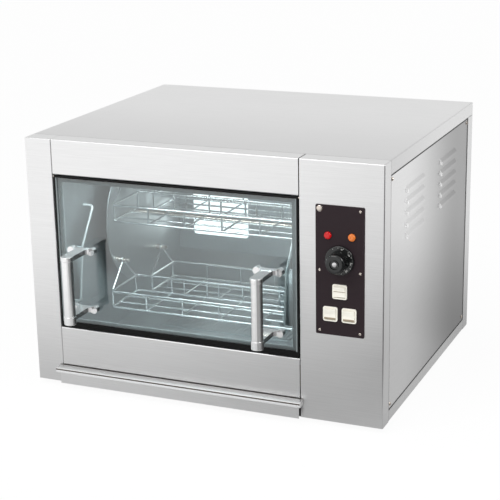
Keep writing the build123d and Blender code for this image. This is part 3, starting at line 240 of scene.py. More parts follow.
class Finish:
    """One procedural material: a Principled shader and the nodes that drive it."""

    def __init__(self, name, **values):
        self.material = bpy.data.materials.new(name)
        self.material.use_nodes = True
        self.nodes = self.material.node_tree.nodes
        self.links = self.material.node_tree.links
        self.shader = self.nodes["Principled BSDF"]
        for socket, value in values.items():
            self.shader.inputs[socket.replace("_", " ")].default_value = value

    def add(self, kind, **values):
        """A node with its input sockets set."""
        node = self.nodes.new(kind)
        for socket, value in values.items():
            node.inputs[socket.replace("_", " ")].default_value = value
        return node

    def axes(self, kind, output):
        """The X, Y and Z of one output of a new node."""
        parts = self.add("ShaderNodeSeparateXYZ")
        self.links.new(self.add(kind).outputs[output], parts.inputs["Vector"])
        return parts.outputs

    def spot(self):
        """Where the point is, in the piece's own coordinates."""
        return self.axes("ShaderNodeTexCoord", "Object")

    def outlook(self):
        """Which way the surface looks."""
        return self.axes("ShaderNodeNewGeometry", "Normal")

    def work(self, operation, *sources):
        """A Math node over sockets and numbers."""
        return worked_out(self.nodes, self.links, operation, *sources)

    def ease(self, source, reach, low, high):
        """A smooth step of the source over its reach."""
        return eased(self.nodes, self.links, source, reach, low, high)

    def ramp(self, source, reach, low, high):
        """A straight ramp of the source over its reach."""
        node = self.add("ShaderNodeMapRange", From_Min=reach[0], From_Max=reach[1], To_Min=low, To_Max=high)
        self.links.new(source, node.inputs["Value"])
        return node.outputs["Result"]

    def noise(self, size, stretch=(1, 1, 1), detail=2.0):
        """Noise whose patches are about that many millimetres across, drawn out along an axis by stretch."""
        place = self.add("ShaderNodeTexCoord")
        mapping = self.add("ShaderNodeMapping", Scale=[1 / (size * MM * s) for s in stretch])
        texture = self.add("ShaderNodeTexNoise", Scale=1.0, Detail=detail)
        self.links.new(place.outputs["Object"], mapping.inputs["Vector"])
        self.links.new(mapping.outputs["Vector"], texture.inputs["Vector"])
        return texture.outputs["Fac"]

    def between(self, noise, dark, light):
        """A colour between two, by the noise."""
        node = self.add("ShaderNodeValToRGB")
        for stop, place, colour in zip(node.color_ramp.elements, NOISE_MIDDLE, (dark, light)):
            stop.position = place
            stop.color = (*colour, 1)
        self.links.new(noise, node.inputs["Fac"])
        return node.outputs["Color"]

    def mixed(self, share, tone, other):
        """The tone, replaced by another colour as far as the share says."""
        node = self.add("ShaderNodeMixRGB", Color2=(*other, 1))
        self.links.new(share, node.inputs["Fac"])
        self.links.new(tone, node.inputs["Color1"])
        return node.outputs["Color"]

    def drive(self, socket, source):
        """Links a source to one of the shader's inputs."""
        self.links.new(source, self.shader.inputs[socket])

    def roughen(self, noise, rough, shares, softer=None):
        """A roughness that follows the noise between two shares of a value, times softer if given."""
        uneven = self.ramp(noise, NOISE_MIDDLE, rough * shares[0], rough * shares[1])
        self.drive("Roughness", uneven if softer is None else self.work("MULTIPLY", uneven, softer))

    def relief(self, height, depth):
        """Bump of that depth in millimetres."""
        node = self.add("ShaderNodeBump", Distance=depth * MM, Strength=1.0)
        self.links.new(height, node.inputs["Height"])
        self.links.new(node.outputs["Normal"], self.shader.inputs["Normal"])

    def blend(self, share, other):
        """Shows another shader in place of this one as far as the share says."""
        mix = self.add("ShaderNodeMixShader")
        self.links.new(share, mix.inputs["Fac"])
        self.links.new(self.shader.outputs["BSDF"], mix.inputs[1])
        self.links.new(other, mix.inputs[2])
        self.links.new(mix.outputs["Shader"], self.nodes["Material Output"].inputs["Surface"])


def shade(colour, share):
    """The colour times a share."""
    return tuple(min(1.0, channel * share) for channel in colour)


def brush_marks(finish, colour, rough, along="x", grain=BRUSH_GRAIN, softer=None):
    """Gives a finish faint handling marks, and returns its brush lines along one axis and their colour."""
    lines = finish.noise(grain, BRUSH_STRETCH[along], detail=3.0)
    finish.roughen(finish.noise(HANDLING_MARK, detail=4.0), rough, HANDLING_ROUGH, softer)
    return lines, finish.between(lines, *(shade(colour, share) for share in BRUSH_TONES))


def brushed(name, colour, rough, along="x", grain=BRUSH_GRAIN):
    """Sheet metal with brush lines along one axis."""
    finish = Finish(name, Metallic=1.0)
    lines, tone = brush_marks(finish, colour, rough, along, grain)
    finish.drive("Base Color", tone)
    finish.relief(lines, BRUSH_DEPTH)
    return finish.material


def side_sheet(name, colour, rough):
    """Sheet metal brushed along the depth, darkened towards the rear by painted shade, and satin on the
    louvres' front ends as a painted highlight.
    """
    finish = Finish(name, Metallic=1.0)
    _, tone = brush_marks(finish, colour, rough, "y")
    rear = finish.ease(finish.spot()["Y"], SIDE_SHADE_REACH, 0, 1)
    flat = finish.ease(finish.outlook()["Y"], SCOOP_HIGHLIGHT_TURN, 0, 1)
    finish.drive("Metallic", flat)
    # Painted shade towards the rear, kept off the louvres' front ends
    rear_shade = finish.work("MULTIPLY", rear, flat)
    finish.drive("Base Color", finish.mixed(rear_shade, tone, shade(colour, SIDE_SHADE_TONE)))
    return finish.material


def top_sheet(name, colour, rough):
    """Sheet metal brushed along the width, darker towards the front as painted shade."""
    finish = Finish(name, Metallic=1.0)
    lines, tone = brush_marks(finish, colour, rough)
    # Painted shade towards the front
    ahead = finish.ease(finish.spot()["Y"], TOP_SHADE_REACH, 0, 1)
    finish.drive("Base Color", finish.mixed(ahead, tone, shade(colour, TOP_SHADE_TONE)))
    finish.relief(lines, BRUSH_DEPTH)
    return finish.material


def tray_sheet(name, colour, rough):
    """Sheet metal brushed along the width, darkened on its upward faces by painted shade, and satin on the
    lip in front.
    """
    finish = Finish(name, Metallic=1.0)
    depth = finish.spot()["Y"]
    _, tone = brush_marks(finish, colour, rough, softer=finish.ease(depth, LIP_START, LIP_SOFT, 1))
    # Painted shade on the faces that look up
    upward_shade = finish.ramp(finish.outlook()["Z"], UPWARD_SHADE_TURN, 0, 1)
    finish.drive("Metallic", finish.ease(depth, LIP_START, LIP_METAL, 1))
    finish.drive("Base Color", finish.mixed(upward_shade, tone, shade(colour, UPWARD_SHADE_TONE)))
    return finish.material


def wipe_marks(finish, colour, rough):
    """Gives a finish an uneven gloss, and returns the colour of its faint wipe marks."""
    clouds = finish.noise(WIPE_MARK, detail=5.0)
    finish.roughen(clouds, rough, WIPE_ROUGH)
    return finish.between(clouds, *(shade(colour, share) for share in WIPE_TONES))


def plated(name, colour, rough):
    """Bright plated metal."""
    finish = Finish(name, Metallic=1.0)
    finish.drive("Base Color", wipe_marks(finish, colour, rough))
    return finish.material


def polished(name, colour, rough):
    """Polished metal, with a painted dark reflection on the faces that look to the right, as in the photo.
    """
    finish = Finish(name, Metallic=POLISH_METAL)
    tone = wipe_marks(finish, colour, rough)
    # Painted dark reflection on the faces that look to the right
    right = finish.ease(finish.outlook()["X"], POLISH_TURN, 0, 1)
    finish.drive("Base Color", finish.mixed(right, tone, shade(colour, POLISH_SHADE_TONE)))
    return finish.material


def moulded(name, colour, rough, grain=SKIN_GRAIN, depth=0.01, contrast=0.1, **values):
    """Plastic, paint or rubber: fine skin texture, slight colour variation and a roughness that wanders."""
    finish = Finish(name, **values)
    clouds = finish.noise(SKIN_CLOUD, detail=5.0)
    tone = finish.between(clouds, shade(colour, 1 - contrast), shade(colour, 1 + contrast))
    finish.drive("Base Color", tone)
    finish.roughen(clouds, rough, SKIN_ROUGH)
    finish.relief(finish.noise(grain, detail=3.0), depth)
    return finish.material


def corners_of(name):
    """The low and high corners of a CAD node's box, in its own coordinates."""
    spots = [vertex.co for vertex in frame["nodes"][name].data.vertices]
    return [Vector([pick(spot[axis] for spot in spots) for axis in range(3)]) for pick in (min, max)]


def edged(name, colour, pale):
    """Dull trim, with a pale strip along the upright sides of the glass that it frames."""
    low, high = corners_of("door_glass")
    finish = Finish(name, Roughness=0.5, Specular_IOR_Level=0.15)
    spot = finish.spot()
    aside = finish.work("ABSOLUTE", finish.work("SUBTRACT", spot["X"], (low.x + high.x) / 2))
    beyond = finish.work("SUBTRACT", aside, (high.x - low.x) / 2)
    near = finish.ease(beyond, (PALE_EDGE * MM, (PALE_EDGE + PALE_BLUR) * MM), 1, 0)
    above = finish.work("GREATER_THAN", spot["Z"], low.z)
    below = finish.work("LESS_THAN", spot["Z"], high.z)
    beside = finish.work("MULTIPLY", near, finish.work("MULTIPLY", above, below))
    tone = finish.between(finish.noise(SKIN_CLOUD, detail=5.0), shade(colour, 1 - TRIM_CONTRAST),
                          shade(colour, 1 + TRIM_CONTRAST))
    finish.drive("Base Color", finish.mixed(beside, tone, pale))
    finish.relief(finish.noise(SKIN_GRAIN, detail=3.0), TRIM_DEPTH)
    return finish.material


def lens(name, colour, glow):
    """A coloured lamp lens: clear gloss over a tinted body with a soft inner glow."""
    finish = Finish(name, Roughness=0.12, Transmission_Weight=0.15, Coat_Weight=0.15, Emission_Strength=glow)
    ribs = finish.noise(LENS_RIB, detail=1.0)
    tinted = finish.between(ribs, shade(colour, LENS_DARK), colour)
    finish.drive("Base Color", tinted)
    finish.drive("Emission Color", tinted)
    finish.relief(ribs, LENS_RIB_DEPTH)
    return finish.material


def window(name, colour, rough=0.0, bend=1.5):
    """A clear pane that lets lamp light through to what is behind it."""
    finish = Finish(name, Roughness=rough, IOR=bend, Transmission_Weight=1.0)
    haze = finish.noise(HAZE_CLOUD, detail=3.0)
    finish.drive("Base Color", finish.between(haze, shade(colour, HAZE_DARK), colour))
    clear = finish.add("ShaderNodeBsdfTransparent", Color=(*colour, 1))
    path = finish.add("ShaderNodeLightPath")
    finish.blend(path.outputs["Is Shadow Ray"], clear.outputs["BSDF"])
    return finish.material


def glowing(name, colour, strength):
    """A frosted pane lit from behind, slightly mottled."""
    finish = Finish(name, Roughness=0.5, Emission_Strength=strength)
    tone = finish.between(finish.noise(FROST_CLOUD, detail=3.0), shade(colour, FROST_DARK), colour)
    finish.drive("Base Color", tone)
    finish.drive("Emission Color", tone)
    finish.relief(finish.noise(FROST_GRAIN), FROST_DEPTH)
    return finish.material


STEEL = (0.92, 0.92, 0.92)
# Lighter copies of the steel, which paint extra light onto the side panels, the tray and the top cover
LIT_SIDE_STEEL = shade(STEEL, 1.07)
LIT_TRAY_STEEL = shade(STEEL, 1.06)
LIT_TOP_STEEL = shade(STEEL, 1.04)
FINISHES = {
    "stainless": brushed("stainless", STEEL, 0.36),
    "liner_steel": brushed("liner_steel", (0.56, 0.60, 0.61), 0.42, along="z"),
    "zinc_steel": brushed("zinc_steel", (0.58, 0.59, 0.60), 0.45, grain=6),
    "rubber": moulded("rubber", (0.02, 0.02, 0.02), 0.75),
    "screw_steel": plated("screw_steel", (0.80, 0.72, 0.65), 0.22),
    "silicone": moulded("silicone", (0.22, 0.24, 0.24), 0.6),
    "mineral_wool": moulded("mineral_wool", (0.62, 0.55, 0.36), 0.95, grain=2.5, depth=1.0, contrast=0.2),
    "bronze": plated("bronze", (0.52, 0.36, 0.17), 0.3),
    "motor_paint": moulded("motor_paint", (0.05, 0.06, 0.07), 0.45, grain=0.8, depth=0.03),
    "heater_sheath": brushed("heater_sheath", (0.20, 0.19, 0.18), 0.5, grain=3),
    "lamp_glass": window("lamp_glass", (0.95, 0.93, 0.88), 0.05),
    "frosted_glass": glowing("frosted_glass", (1.0, 0.995, 0.98), 1.7),
    "probe_metal": plated("probe_metal", (0.62, 0.60, 0.56), 0.25),
    "chrome_wire": plated("chrome_wire", (0.90, 0.92, 0.92), 0.2),
    "plate_paint": moulded("plate_paint", (0.023, 0.0135, 0.017), 0.55, grain=0.7, depth=0.012,
                           contrast=0.06, Specular_IOR_Level=0.25),
    "black_plastic": moulded("black_plastic", (0.006, 0.007, 0.007), 0.12, depth=0.001,
                             Specular_IOR_Level=0.75),
    "cream_plastic": moulded("cream_plastic", (0.92, 0.89, 0.80), 0.32, depth=0.006, contrast=0.03),
    "red_lens": lens("red_lens", (0.70, 0.006, 0.008), 0.06),
    "amber_lens": lens("amber_lens", (0.90, 0.24, 0.04), 0.06),
    "white_plastic": moulded("white_plastic", (0.78, 0.78, 0.76), 0.4),
    "door_glass": window("door_glass", (0.63, 0.715, 0.73), bend=1.95),
    "black_trim": edged("black_trim", (0.006, 0.006, 0.006), (0.24, 0.27, 0.275)),
    "chrome": polished("chrome", (0.98, 0.98, 0.985), 0.04),
}
NODE_FINISHES = {
    "top_cover": top_sheet("top_steel", LIT_TOP_STEEL, 0.36),
    "drip_tray": tray_sheet("tray_steel", LIT_TRAY_STEEL, 0.36),
    "cavity_front_frame": moulded("frame_enamel", (0.88, 0.94, 0.95), 0.35, contrast=0.04),
    "guard_rods": moulded("guard_enamel", (0.66, 0.69, 0.69), 0.3, contrast=0.04),
    "left_side_panel": side_sheet("left_side_steel", LIT_SIDE_STEEL, 0.3),
    "right_side_panel": side_sheet("right_side_steel", LIT_SIDE_STEEL, 0.3),
}
ROCKER_SHADE = moulded("rocker_shade", (0.34, 0.28, 0.20), 0.5, contrast=0.06)
# Painted shadow in the side panels' joints
SEAM_SHADOW = moulded("seam_shadow", (0.05, 0.05, 0.05), 0.6)
# Painted shadow lines on the tray
TRAY_SHADE_LINE = moulded("tray_shade_line", (0.085, 0.07, 0.06), 0.6)
DIAL_PRINT = moulded("dial_print", (0.52, 0.52, 0.50), 0.5, depth=0.003, contrast=0.04)
SPUN_SILVER = plated("spun_silver", (0.74, 0.73, 0.74), 0.16)


def dress_solids():
    """Each CAD node takes its own finish, or else the finish of its slot."""
    for part in frame["record"]["subparts"]:
        node = frame["nodes"][part["node"]]
        node.data.materials.clear()
        node.data.materials.append(NODE_FINISHES.get(part["node"], FINISHES[part["material_slot"]]))


def mesh_piece(name, points, faces, material, body, smooth=True):
    """A closed mesh that rides on a body."""
    mesh = bpy.data.meshes.new(name)
    mesh.from_pydata([tuple(p) for p in points], [], faces)
    shell = bmesh.new()
    shell.from_mesh(mesh)
    bmesh.ops.recalc_face_normals(shell, faces=shell.faces)
    shell.to_mesh(mesh)
    shell.free()
    mesh.materials.append(material)
    if smooth:
        mesh.shade_smooth()
    else:
        mesh.shade_flat()
    piece = bpy.data.objects.new(name, mesh)
    bpy.context.scene.collection.objects.link(piece)
    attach(piece, body)
    return piece


def facing(place, direction):
    """A frame at that point whose third axis looks along direction."""
    return Matrix.Translation(place) @ Vector(direction).to_track_quat("Z", "Y").to_matrix().to_4x4()


def turned(profile, place):
    """Points and faces of a round form. profile is (radius, height) from the middle of its face outwards."""
    points = [place @ Vector((0, 0, profile[0][1] * MM))]
    for radius, height in profile[1:]:
        for step in range(TURNED_STEPS):
            angle = math.tau * step / TURNED_STEPS
            local = Vector((radius * math.cos(angle), radius * math.sin(angle), height)) * MM
            points.append(place @ local)
    return points, ringed_faces(len(profile) - 1, TURNED_STEPS)


def screw_head(place, radius, height, turn):
    """A domed head with a sunken cross recess, as points and faces."""
    reach = radius * CROSS_SHARE
    half = radius * CROSS_W_SHARE
    depth = height * CROSS_DEPTH_SHARE
    points = [place @ Vector((0, 0, (height - depth) * MM))]
    for ring in range(1, HEAD_RINGS + 1):
        share = ring / HEAD_RINGS
        dome = height * math.sqrt(max(0.0, 1 - share ** HEAD_DOME_POWER))
        for step in range(HEAD_STEPS):
            angle = math.tau * step / HEAD_STEPS
            x = radius * share * math.cos(angle)
            y = radius * share * math.sin(angle)
            along = abs(x * math.cos(turn) + y * math.sin(turn))
            across = abs(y * math.cos(turn) - x * math.sin(turn))
            in_cross = max(along, across) < reach and min(along, across) < half
            lift = dome - (depth if in_cross else 0.0)
            points.append(place @ (Vector((x, y, lift)) * MM))
    return points, ringed_faces(HEAD_RINGS, HEAD_STEPS)


def ringed_faces(rings, steps):
    """Faces of a closed round form: a middle point, then rings of points from there outwards."""
    faces = []
    for step in range(steps):
        after = (step + 1) % steps
        faces.append((0, 1 + step, 1 + after))
        for ring in range(rings - 1):
            inner = 1 + ring * steps
            outer = inner + steps
            faces.append((inner + step, outer + step, outer + after, inner + after))
    last = 1 + (rings - 1) * steps
    faces.append(tuple(range(last, last + steps)))
    return faces


def add_dial():
    """The knob's spun cap and its printed ring of ticks and numbers, all turning with it."""
    low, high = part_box("thermostat_knob")
    centre_x = (low.x + high.x) / 2
    centre_z = (low.z + high.z) / 2
    skirt_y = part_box("control_plate")[0].y - (KNOB_GAP + SKIRT_T) * MM
    face = facing(Vector((centre_x, skirt_y, centre_z)), FRONT)
    add_ticks(face)
    for number, value in enumerate(DIAL_NUMBERS):
        add_number(face, dial_angle((number + 1) / (len(DIAL_NUMBERS) + 1)), value)
    cap = facing(Vector((centre_x, low.y + CAP_SINK * MM, centre_z)), FRONT)
    points, faces = turned(CAP_PROFILE, cap)
    mesh_piece("knob_cap", points, faces, SPUN_SILVER, "knob")


def dial_angle(share):
    """The turn of a mark, in radians, that share of the way along the dial."""
    return math.radians(-DIAL_SWEEP * share - DIAL_START)


def add_ticks(face):
    """The printed ticks, as one piece of thin bars."""
    start = DIAL_RADIUS + DIAL_TEXT_H / 2 - TICK_LENGTH
    end = start + TICK_LENGTH
    points = []
    faces = []
    for tick in range(DIAL_TICKS):
        turn = Matrix.Rotation(dial_angle(tick / (DIAL_TICKS - 1)), 4, "Z")
        first = len(points)
        for radius, side in ((start, -1), (start, 1), (end, 1), (end, -1)):
            for lift in (0.0, PRINT_T):
                local = turn @ Vector((radius, side * TICK_W / 2, lift))
                points.append(face @ (local * MM))
        corners = [first + 2 * n for n in range(4)]
        faces.append([n + 1 for n in corners])
        faces.append(corners)
        for n in range(4):
            near, far = corners[n], corners[(n + 1) % 4]
            faces.append((near, far, far + 1, near + 1))
    mesh_piece("dial_ticks", points, faces, DIAL_PRINT, "knob")


def add_number(face, angle, value):
    """One printed number, its foot towards the middle of the dial."""
    words = bpy.data.curves.new(f"dial_number_{value}", "FONT")
    words.body = str(value)
    words.size = DIAL_TEXT_H * MM
    words.extrude = PRINT_T / 2 * MM
    words.offset = TEXT_BOLD * MM
    words.align_x = "CENTER"
    words.align_y = "CENTER"
    words.materials.append(DIAL_PRINT)
    piece = bpy.data.objects.new(f"dial_number_{value}", words)
    bpy.context.scene.collection.objects.link(piece)
    spot = Matrix.Rotation(angle, 4, "Z") @ Vector(((DIAL_RADIUS - TEXT_INSET) * MM, 0, PRINT_T / 2 * MM))
    upright = Matrix.Rotation(angle - math.pi / 2, 4, "Z")
    piece.matrix_world = face @ Matrix.Translation(spot) @ upright
    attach(piece, "knob")


def slab(low, high, points, faces):
    """Adds a box between two corners, in metres, to the points and faces."""
    first = len(points)
    for x in (low[0], high[0]):
        for y in (low[1], high[1]):
            for z in (low[2], high[2]):
                points.append((x, y, z))
    for face in ((0, 1, 3, 2), (4, 6, 7, 5), (0, 4, 5, 1), (2, 3, 7, 6), (0, 2, 6, 4), (1, 5, 7, 3)):
        faces.append([first + corner for corner in face])


def add_drain_grid():
    """A strainer of flat bars over the drain in the cavity floor, under the rotor."""
    floor_low, floor_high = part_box("cavity_floor")
    shaft_low, shaft_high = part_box("rotor_shaft")
    middle_x = (floor_low.x + floor_high.x) / 2
    middle_y = (shaft_low.y + shaft_high.y) / 2
    base = DRAIN_Z * MM
    top = base + DRAIN_T * MM
    half_l = DRAIN_L / 2 * MM
    half_w = DRAIN_W / 2 * MM
    bar = DRAIN_BAR * MM
    points = []
    faces = []
    for side in (-1, 1):
        edge = middle_y + side * half_w
        slab((middle_x - half_l, edge - bar, base), (middle_x + half_l, edge + bar, top), points, faces)
    for number in range(DRAIN_BARS):
        x = middle_x - half_l + (2 * half_l - bar) * number / (DRAIN_BARS - 1)
        slab((x, middle_y - half_w + bar, base), (x + bar, middle_y + half_w - bar, top), points, faces)
    mesh_piece("drain_grid", points, faces, FINISHES["liner_steel"], "casing", smooth=False)


def add_side_seams():
    """Dark strips round each side panel, where it tucks behind the flanges: painted shadow in the joints."""
    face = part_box("top_cover")[1].x - SHEET * MM
    tuck = PANEL_TUCK * MM
    for side, name in ((-1, "left"), (1, "right")):
        low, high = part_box(f"{name}_side_panel")
        x0, x1 = sorted((side * face, side * (face + SEAM_T * MM)))
        y0, y1 = low.y + tuck, high.y - tuck
        z0, z1 = low.z + tuck, high.z - tuck
        upper, lower = z1 - SEAM_TOP * MM, z0 + SEAM_BASE * MM
        points = []
        faces = []
        slab((x0, y0, upper), (x1, y1, z1), points, faces)
        slab((x0, y0, z0), (x1, y1, lower), points, faces)
        slab((x0, y0, lower), (x1, y0 + SEAM_FRONT * MM, upper), points, faces)
        slab((x0, y1 - SEAM_REAR * MM, lower), (x1, y1, upper), points, faces)
        mesh_piece(f"{name}_side_seam", points, faces, SEAM_SHADOW, "casing", smooth=False)


def add_tray_seams():
    """Painted shadow in the joint behind the tray's lip, and a painted shadow line along the hem at its
    front.
    """
    low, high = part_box("drip_tray")
    panel_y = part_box("lower_front_panel")[0].y
    line = TRAY_SEAM * MM
    thick = SEAM_T * MM
    hem = high.z - HEM_DROP * MM
    points = []
    faces = []
    slab((low.x, panel_y - 2 * line, high.z), (high.x, panel_y - line, high.z + thick), points, faces)
    slab((low.x, low.y - thick, hem - HEM_H * MM), (high.x, low.y + HEM_DEPTH * MM, hem), points, faces)
    mesh_piece("tray_shadow_lines", points, faces, TRAY_SHADE_LINE, "tray", smooth=False)


def add_guard_plates():
    """A small baffle from each cavity wall, hemmed round the lower run of its guard rod."""
    walls = (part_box("cavity_left_wall")[1].x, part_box("cavity_right_wall")[0].x)
    for wall, inward, name in ((walls[0], 1, "left"), (walls[1], -1, "right")):
        points = []
        for across, behind in GUARD_HEM:
            x = wall + inward * (GUARD_IN + across) * MM
            for y, z in (GUARD_FOOT, GUARD_KNEE):
                for depth in (behind, behind + GUARD_PLATE_T):
                    points.append((x, (y + depth) * MM, z * MM))
        faces = [(0, 1, 3, 2)]
        for a in range(0, len(points) - 4, 4):
            b = a + 4
            faces += [(a, a + 2, b + 2, b), (a + 1, b + 1, b + 3, a + 3), (a, b, b + 1, a + 1),
                      (a + 2, a + 3, b + 3, b + 2)]
        last = len(points) - 4
        faces.append((last, last + 2, last + 3, last + 1))
        mesh_piece(f"{name}_guard_plate", points, faces, FINISHES["liner_steel"], "casing")


def pill(low, high, rise):
    """Points and faces of a strip between two corners, with round ends and a bevelled face towards -Y."""
    points = []
    radius = (high.z - low.z) / 2
    middle = (high.z + low.z) / 2
    for y, share in ((high.y, 1.0), (low.y + rise, 1.0), (low.y, PILL_FACE)):
        for end, start_angle in ((high.x - radius, -math.pi / 2), (low.x + radius, math.pi / 2)):
            for step in range(PILL_STEPS + 1):
                angle = start_angle + math.pi * step / PILL_STEPS
                x = end + share * radius * math.cos(angle)
                points.append((x, y, middle + share * radius * math.sin(angle)))
    ring = 2 * (PILL_STEPS + 1)
    faces = [tuple(range(2 * ring, 3 * ring)), tuple(range(ring))]
    for first in (0, ring):
        for n in range(ring):
            here, after = first + n, first + (n + 1) % ring
            faces.append((here, after, after + ring, here + ring))
    return points, faces


def add_rocker_marks():
    """The painted shadow at the foot of each pressed rocker, and the painted shadow line across the middle
    of the power rocker.
    """
    proud = ROCKER_SHADOW_PROUD * MM
    margin = ROCKER_MARGIN * MM
    for name in ("power", "heat", "lamp"):
        node = frame["nodes"][f"{name}_rocker"]
        low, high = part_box(f"{name}_rocker")
        tall = (ROCKER_LINE_H if name == "power" else ROCKER_FOOT_H) * MM
        level = (low.z + high.z - tall) / 2 if name == "power" else low.z
        face = min(v.co.y for v in node.data.vertices if abs(v.co.z - level) < 2 * ROCKER_FOOT_H * MM)
        points, faces = pill(Vector((low.x + margin, face - proud, level)),
                             Vector((high.x - margin, face + proud, level + tall)), proud / 2)
        mesh_piece(f"{name}_rocker_painted_shadow", points, faces, ROCKER_SHADE, f"{name}_switch",
                   smooth=False)


def add_screws():
    """Cross-recess heads in place of the plain ones on the control plate and the sides."""
    for node, name, axis in (("control_plate_screws", "plate", 1), ("side_screws", "side", 0)):
        for number, (low, high) in enumerate(islands(node)):
            middle = (low + high) / 2
            out = Vector(FRONT) if name == "plate" else Vector((math.copysign(1, middle.x), 0, 0))
            radius = max(high[n] - low[n] for n in range(3) if n != axis) / 2 / MM
            height = HEAD_H[name]
            tip = middle.copy()
            tip[axis] = low[axis] if out[axis] < 0 else high[axis]
            seat = tip - out * height * MM
            points, faces = screw_head(facing(seat, out), radius, height, FIRST_TURN + number)
            piece = mesh_piece(f"{name}_screw_{number + 1}", points, faces, FINISHES["screw_steel"],
                               "casing")
            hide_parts(node)


def add_cup_washer():
    """The larger cup washer under the plate's top left screw."""
    corner = min(islands("control_plate_screws"), key=lambda box: box[0].x - box[0].z)
    middle = (corner[0] + corner[1]) / 2
    plate_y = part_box("control_plate")[0].y
    points, faces = turned(WASHER_PROFILE, facing(Vector((middle.x, plate_y, middle.z)), FRONT))
    mesh_piece("cup_washer", points, faces, FINISHES["screw_steel"], "casing")


def islands(node):
    """The boxes of a node's separate solids, in order."""
    gap = SCREW_APART * MM
    boxes = []
    for vertex in frame["nodes"][node].data.vertices:
        spot = vertex.co
        near = [box for box in boxes if all(box[0][n] - gap < spot[n] < box[1][n] + gap for n in range(3))]
        if not near:
            boxes.append([spot.copy(), spot.copy()])
            continue
        low, high = near[0]
        for n in range(3):
            low[n] = min(low[n], spot[n])
            high[n] = max(high[n], spot[n])
    return boxes


def toned(nodes, links, share, tone):
    """1 where the share is 0, and the tone where it is 1."""
    less = worked_out(nodes, links, "SUBTRACT", 1, tone)
    return worked_out(nodes, links, "SUBTRACT", 1, worked_out(nodes, links, "MULTIPLY", share, less))


def side_tone(nodes, links, direction, side, edge, tone):
    """The tone for directions near that side, and 1 away from it."""
    unit = nodes.new("ShaderNodeVectorMath")
    unit.operation = "NORMALIZE"
    links.new(direction, unit.inputs[0])
    toward = nodes.new("ShaderNodeVectorMath")
    toward.operation = "DOT_PRODUCT"
    toward.inputs[1].default_value = side
    links.new(unit.outputs["Vector"], toward.inputs[0])
    return eased(nodes, links, toward.outputs["Value"], edge, 1, tone)


def background_rays(nodes, links):
    """(1 for rays that see the white background: camera, glossy and transmission; 1 for glossy rays)."""
    path = nodes.new("ShaderNodeLightPath")
    glossy = path.outputs["Is Glossy Ray"]
    seen = worked_out(nodes, links, "MAXIMUM", path.outputs["Is Camera Ray"], glossy)
    return worked_out(nodes, links, "MAXIMUM", seen, path.outputs["Is Transmission Ray"]), glossy


def product(nodes, links, first, *others):
    """The product of the sources."""
    for other in others:
        first = worked_out(nodes, links, "MULTIPLY", first, other)
    return first


def add_sky():
    """A white world that lights softly, with greys for the metal to mirror."""
    world = bpy.data.worlds.new("studio")
    world.use_nodes = True
    bpy.context.scene.world = world
    nodes = world.node_tree.nodes
    links = world.node_tree.links
    seen, glossy = background_rays(nodes, links)
    level = eased(nodes, links, seen, (0, 1), SKY, 1)
    direction = nodes.new("ShaderNodeTexCoord").outputs["Generated"]
    height = nodes.new("ShaderNodeSeparateXYZ")
    links.new(direction, height.inputs["Vector"])
    card = side_tone(nodes, links, direction, CARD_SIDE, CARD_EDGE, CARD_TONE)
    back = side_tone(nodes, links, direction, BACK_SIDE, BACK_EDGE, BACK_TONE)
    dome = eased(nodes, links, height.outputs["Z"], SKY_RISE, 1, SKY_TONE)
    tone = product(nodes, links, card, back, dome)
    strength = product(nodes, links, level, toned(nodes, links, glossy, tone))
    links.new(strength, nodes["Background"].inputs["Strength"])
    nodes["Background"].inputs["Color"].default_value = (1, 1, 1, 1)


def floor_tone(finish, spot):
    """The grey of the floor that metal mirrors: painted shade near the oven, and darker towards the card."""
    nodes, links = finish.nodes, finish.links
    place = nodes.new("ShaderNodeTexCoord").outputs["Object"]
    length = nodes.new("ShaderNodeVectorMath")
    length.operation = "LENGTH"
    links.new(place, length.inputs[0])
    away = length.outputs["Value"]
    # Painted shade on the floor near the oven
    near_shade = finish.ease(away, NEAR_SHADE_REACH, NEAR_SHADE_TONE, 1)
    ahead = finish.ease(spot["Y"], RIGHT_DEPTH, 0, 1)
    right = finish.ease(spot["X"], RIGHT_REACH, 1, RIGHT_TONE)
    reach = finish.ease(away, CARD_REACH, 0, 1)
    card = side_tone(nodes, links, place, CARD_SIDE, CARD_EDGE, CARD_TONE)
    back = side_tone(nodes, links, place, BACK_SIDE, BACK_EDGE, BACK_TONE)
    near_right = toned(nodes, links, ahead, right)
    far_card = toned(nodes, links, reach, card)
    return product(nodes, links, near_shade, near_right, far_card, back)


def add_floor():
    """A white floor that keeps the oven's soft shadow, with painted shade near the oven that only the
    steel's reflections show.
    """
    finish = Finish("studio_floor", Roughness=0.9)
    nodes, links = finish.nodes, finish.links
    finish.drive("Base Color", finish.between(finish.noise(FLOOR_MOTTLE), FLOOR_DARK, FLOOR_LIGHT))
    seen, glossy = background_rays(nodes, links)
    white = finish.add("ShaderNodeEmission")
    links.new(toned(nodes, links, glossy, floor_tone(finish, finish.spot())), white.inputs["Strength"])
    finish.blend(finish.work("MULTIPLY", seen, FLOOR_WHITE), white.outputs["Emission"])
    bpy.ops.mesh.primitive_circle_add(vertices=FLOOR_SIDES, radius=FLOOR_RADIUS, fill_type="NGON")
    floor = bpy.context.object
    floor.name = "studio_floor"
    floor.data.materials.append(finish.material)


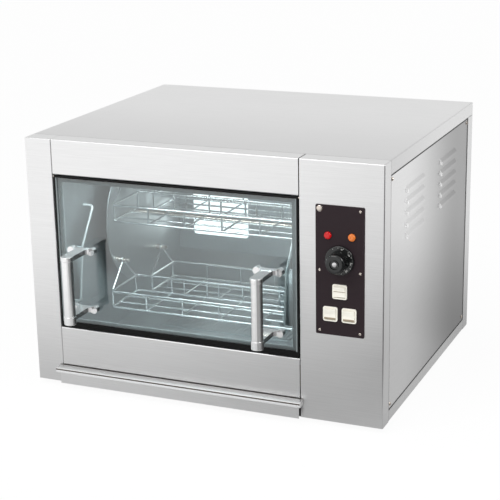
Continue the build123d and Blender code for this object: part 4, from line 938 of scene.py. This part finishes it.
def area_light(name, place, target, size, power):
    """A rectangular light at a place, turned to a target."""
    lamp = bpy.data.lights.new(name, "AREA")
    lamp.shape = "RECTANGLE"
    lamp.size, lamp.size_y = size
    lamp.energy = power
    holder = bpy.data.objects.new(name, lamp)
    holder.matrix_world = facing(Vector(place), Vector(place) - Vector(target))
    bpy.context.scene.collection.objects.link(holder)


def add_lights():
    """A soft sun that metal doesn't mirror, two softboxes and the oven's own cavity light."""
    sun = bpy.data.lights.new("sun", "SUN")
    sun.energy = SUN
    sun.angle = math.radians(SUN_SPREAD)
    holder = bpy.data.objects.new("sun", sun)
    holder.matrix_world = facing(Vector(SUN_PLACE), SUN_FROM)
    holder.visible_glossy = False
    bpy.context.scene.collection.objects.link(holder)
    area_light("front_softbox", **FRONT_SOFTBOX)
    area_light("side_softbox", **SIDE_SOFTBOX)
    low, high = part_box("cavity_ceiling")
    middle = (low + high) / 2
    area_light("cavity_light", (middle.x, low.y + CAVITY_LIGHT_IN, low.z - CAVITY_LIGHT_DROP),
               (middle.x, middle.y, CAVITY_LIGHT_AIM_Z), CAVITY_LIGHT_SIZE, CAVITY_LIGHT)


def add_camera():
    """The camera, turned about the upright, tilted down and rolled a little."""
    back = Vector((math.sin(CAMERA_TURN) * math.cos(CAMERA_TILT),
                   -math.cos(CAMERA_TURN) * math.cos(CAMERA_TILT), math.sin(CAMERA_TILT)))
    level = Vector((math.cos(CAMERA_TURN), math.sin(CAMERA_TURN), 0))
    upright = back.cross(level)
    right = math.cos(CAMERA_ROLL) * level + math.sin(CAMERA_ROLL) * upright
    up = math.cos(CAMERA_ROLL) * upright - math.sin(CAMERA_ROLL) * level
    data = bpy.data.cameras.new("camera")
    data.sensor_width = SENSOR
    data.lens = LENS
    camera = bpy.data.objects.new("camera", data)
    camera.matrix_world = Matrix.Translation(CAMERA_PLACE) @ Matrix((right, up, back)).transposed().to_4x4()
    bpy.context.scene.collection.objects.link(camera)
    bpy.context.scene.camera = camera


dress_solids()
add_dial()
add_screws()
add_cup_washer()
add_drain_grid()
add_side_seams()
add_tray_seams()
add_guard_plates()
add_rocker_marks()
add_sky()
add_floor()
add_lights()
add_camera()
bpy.context.scene.view_settings.view_transform = "Standard"
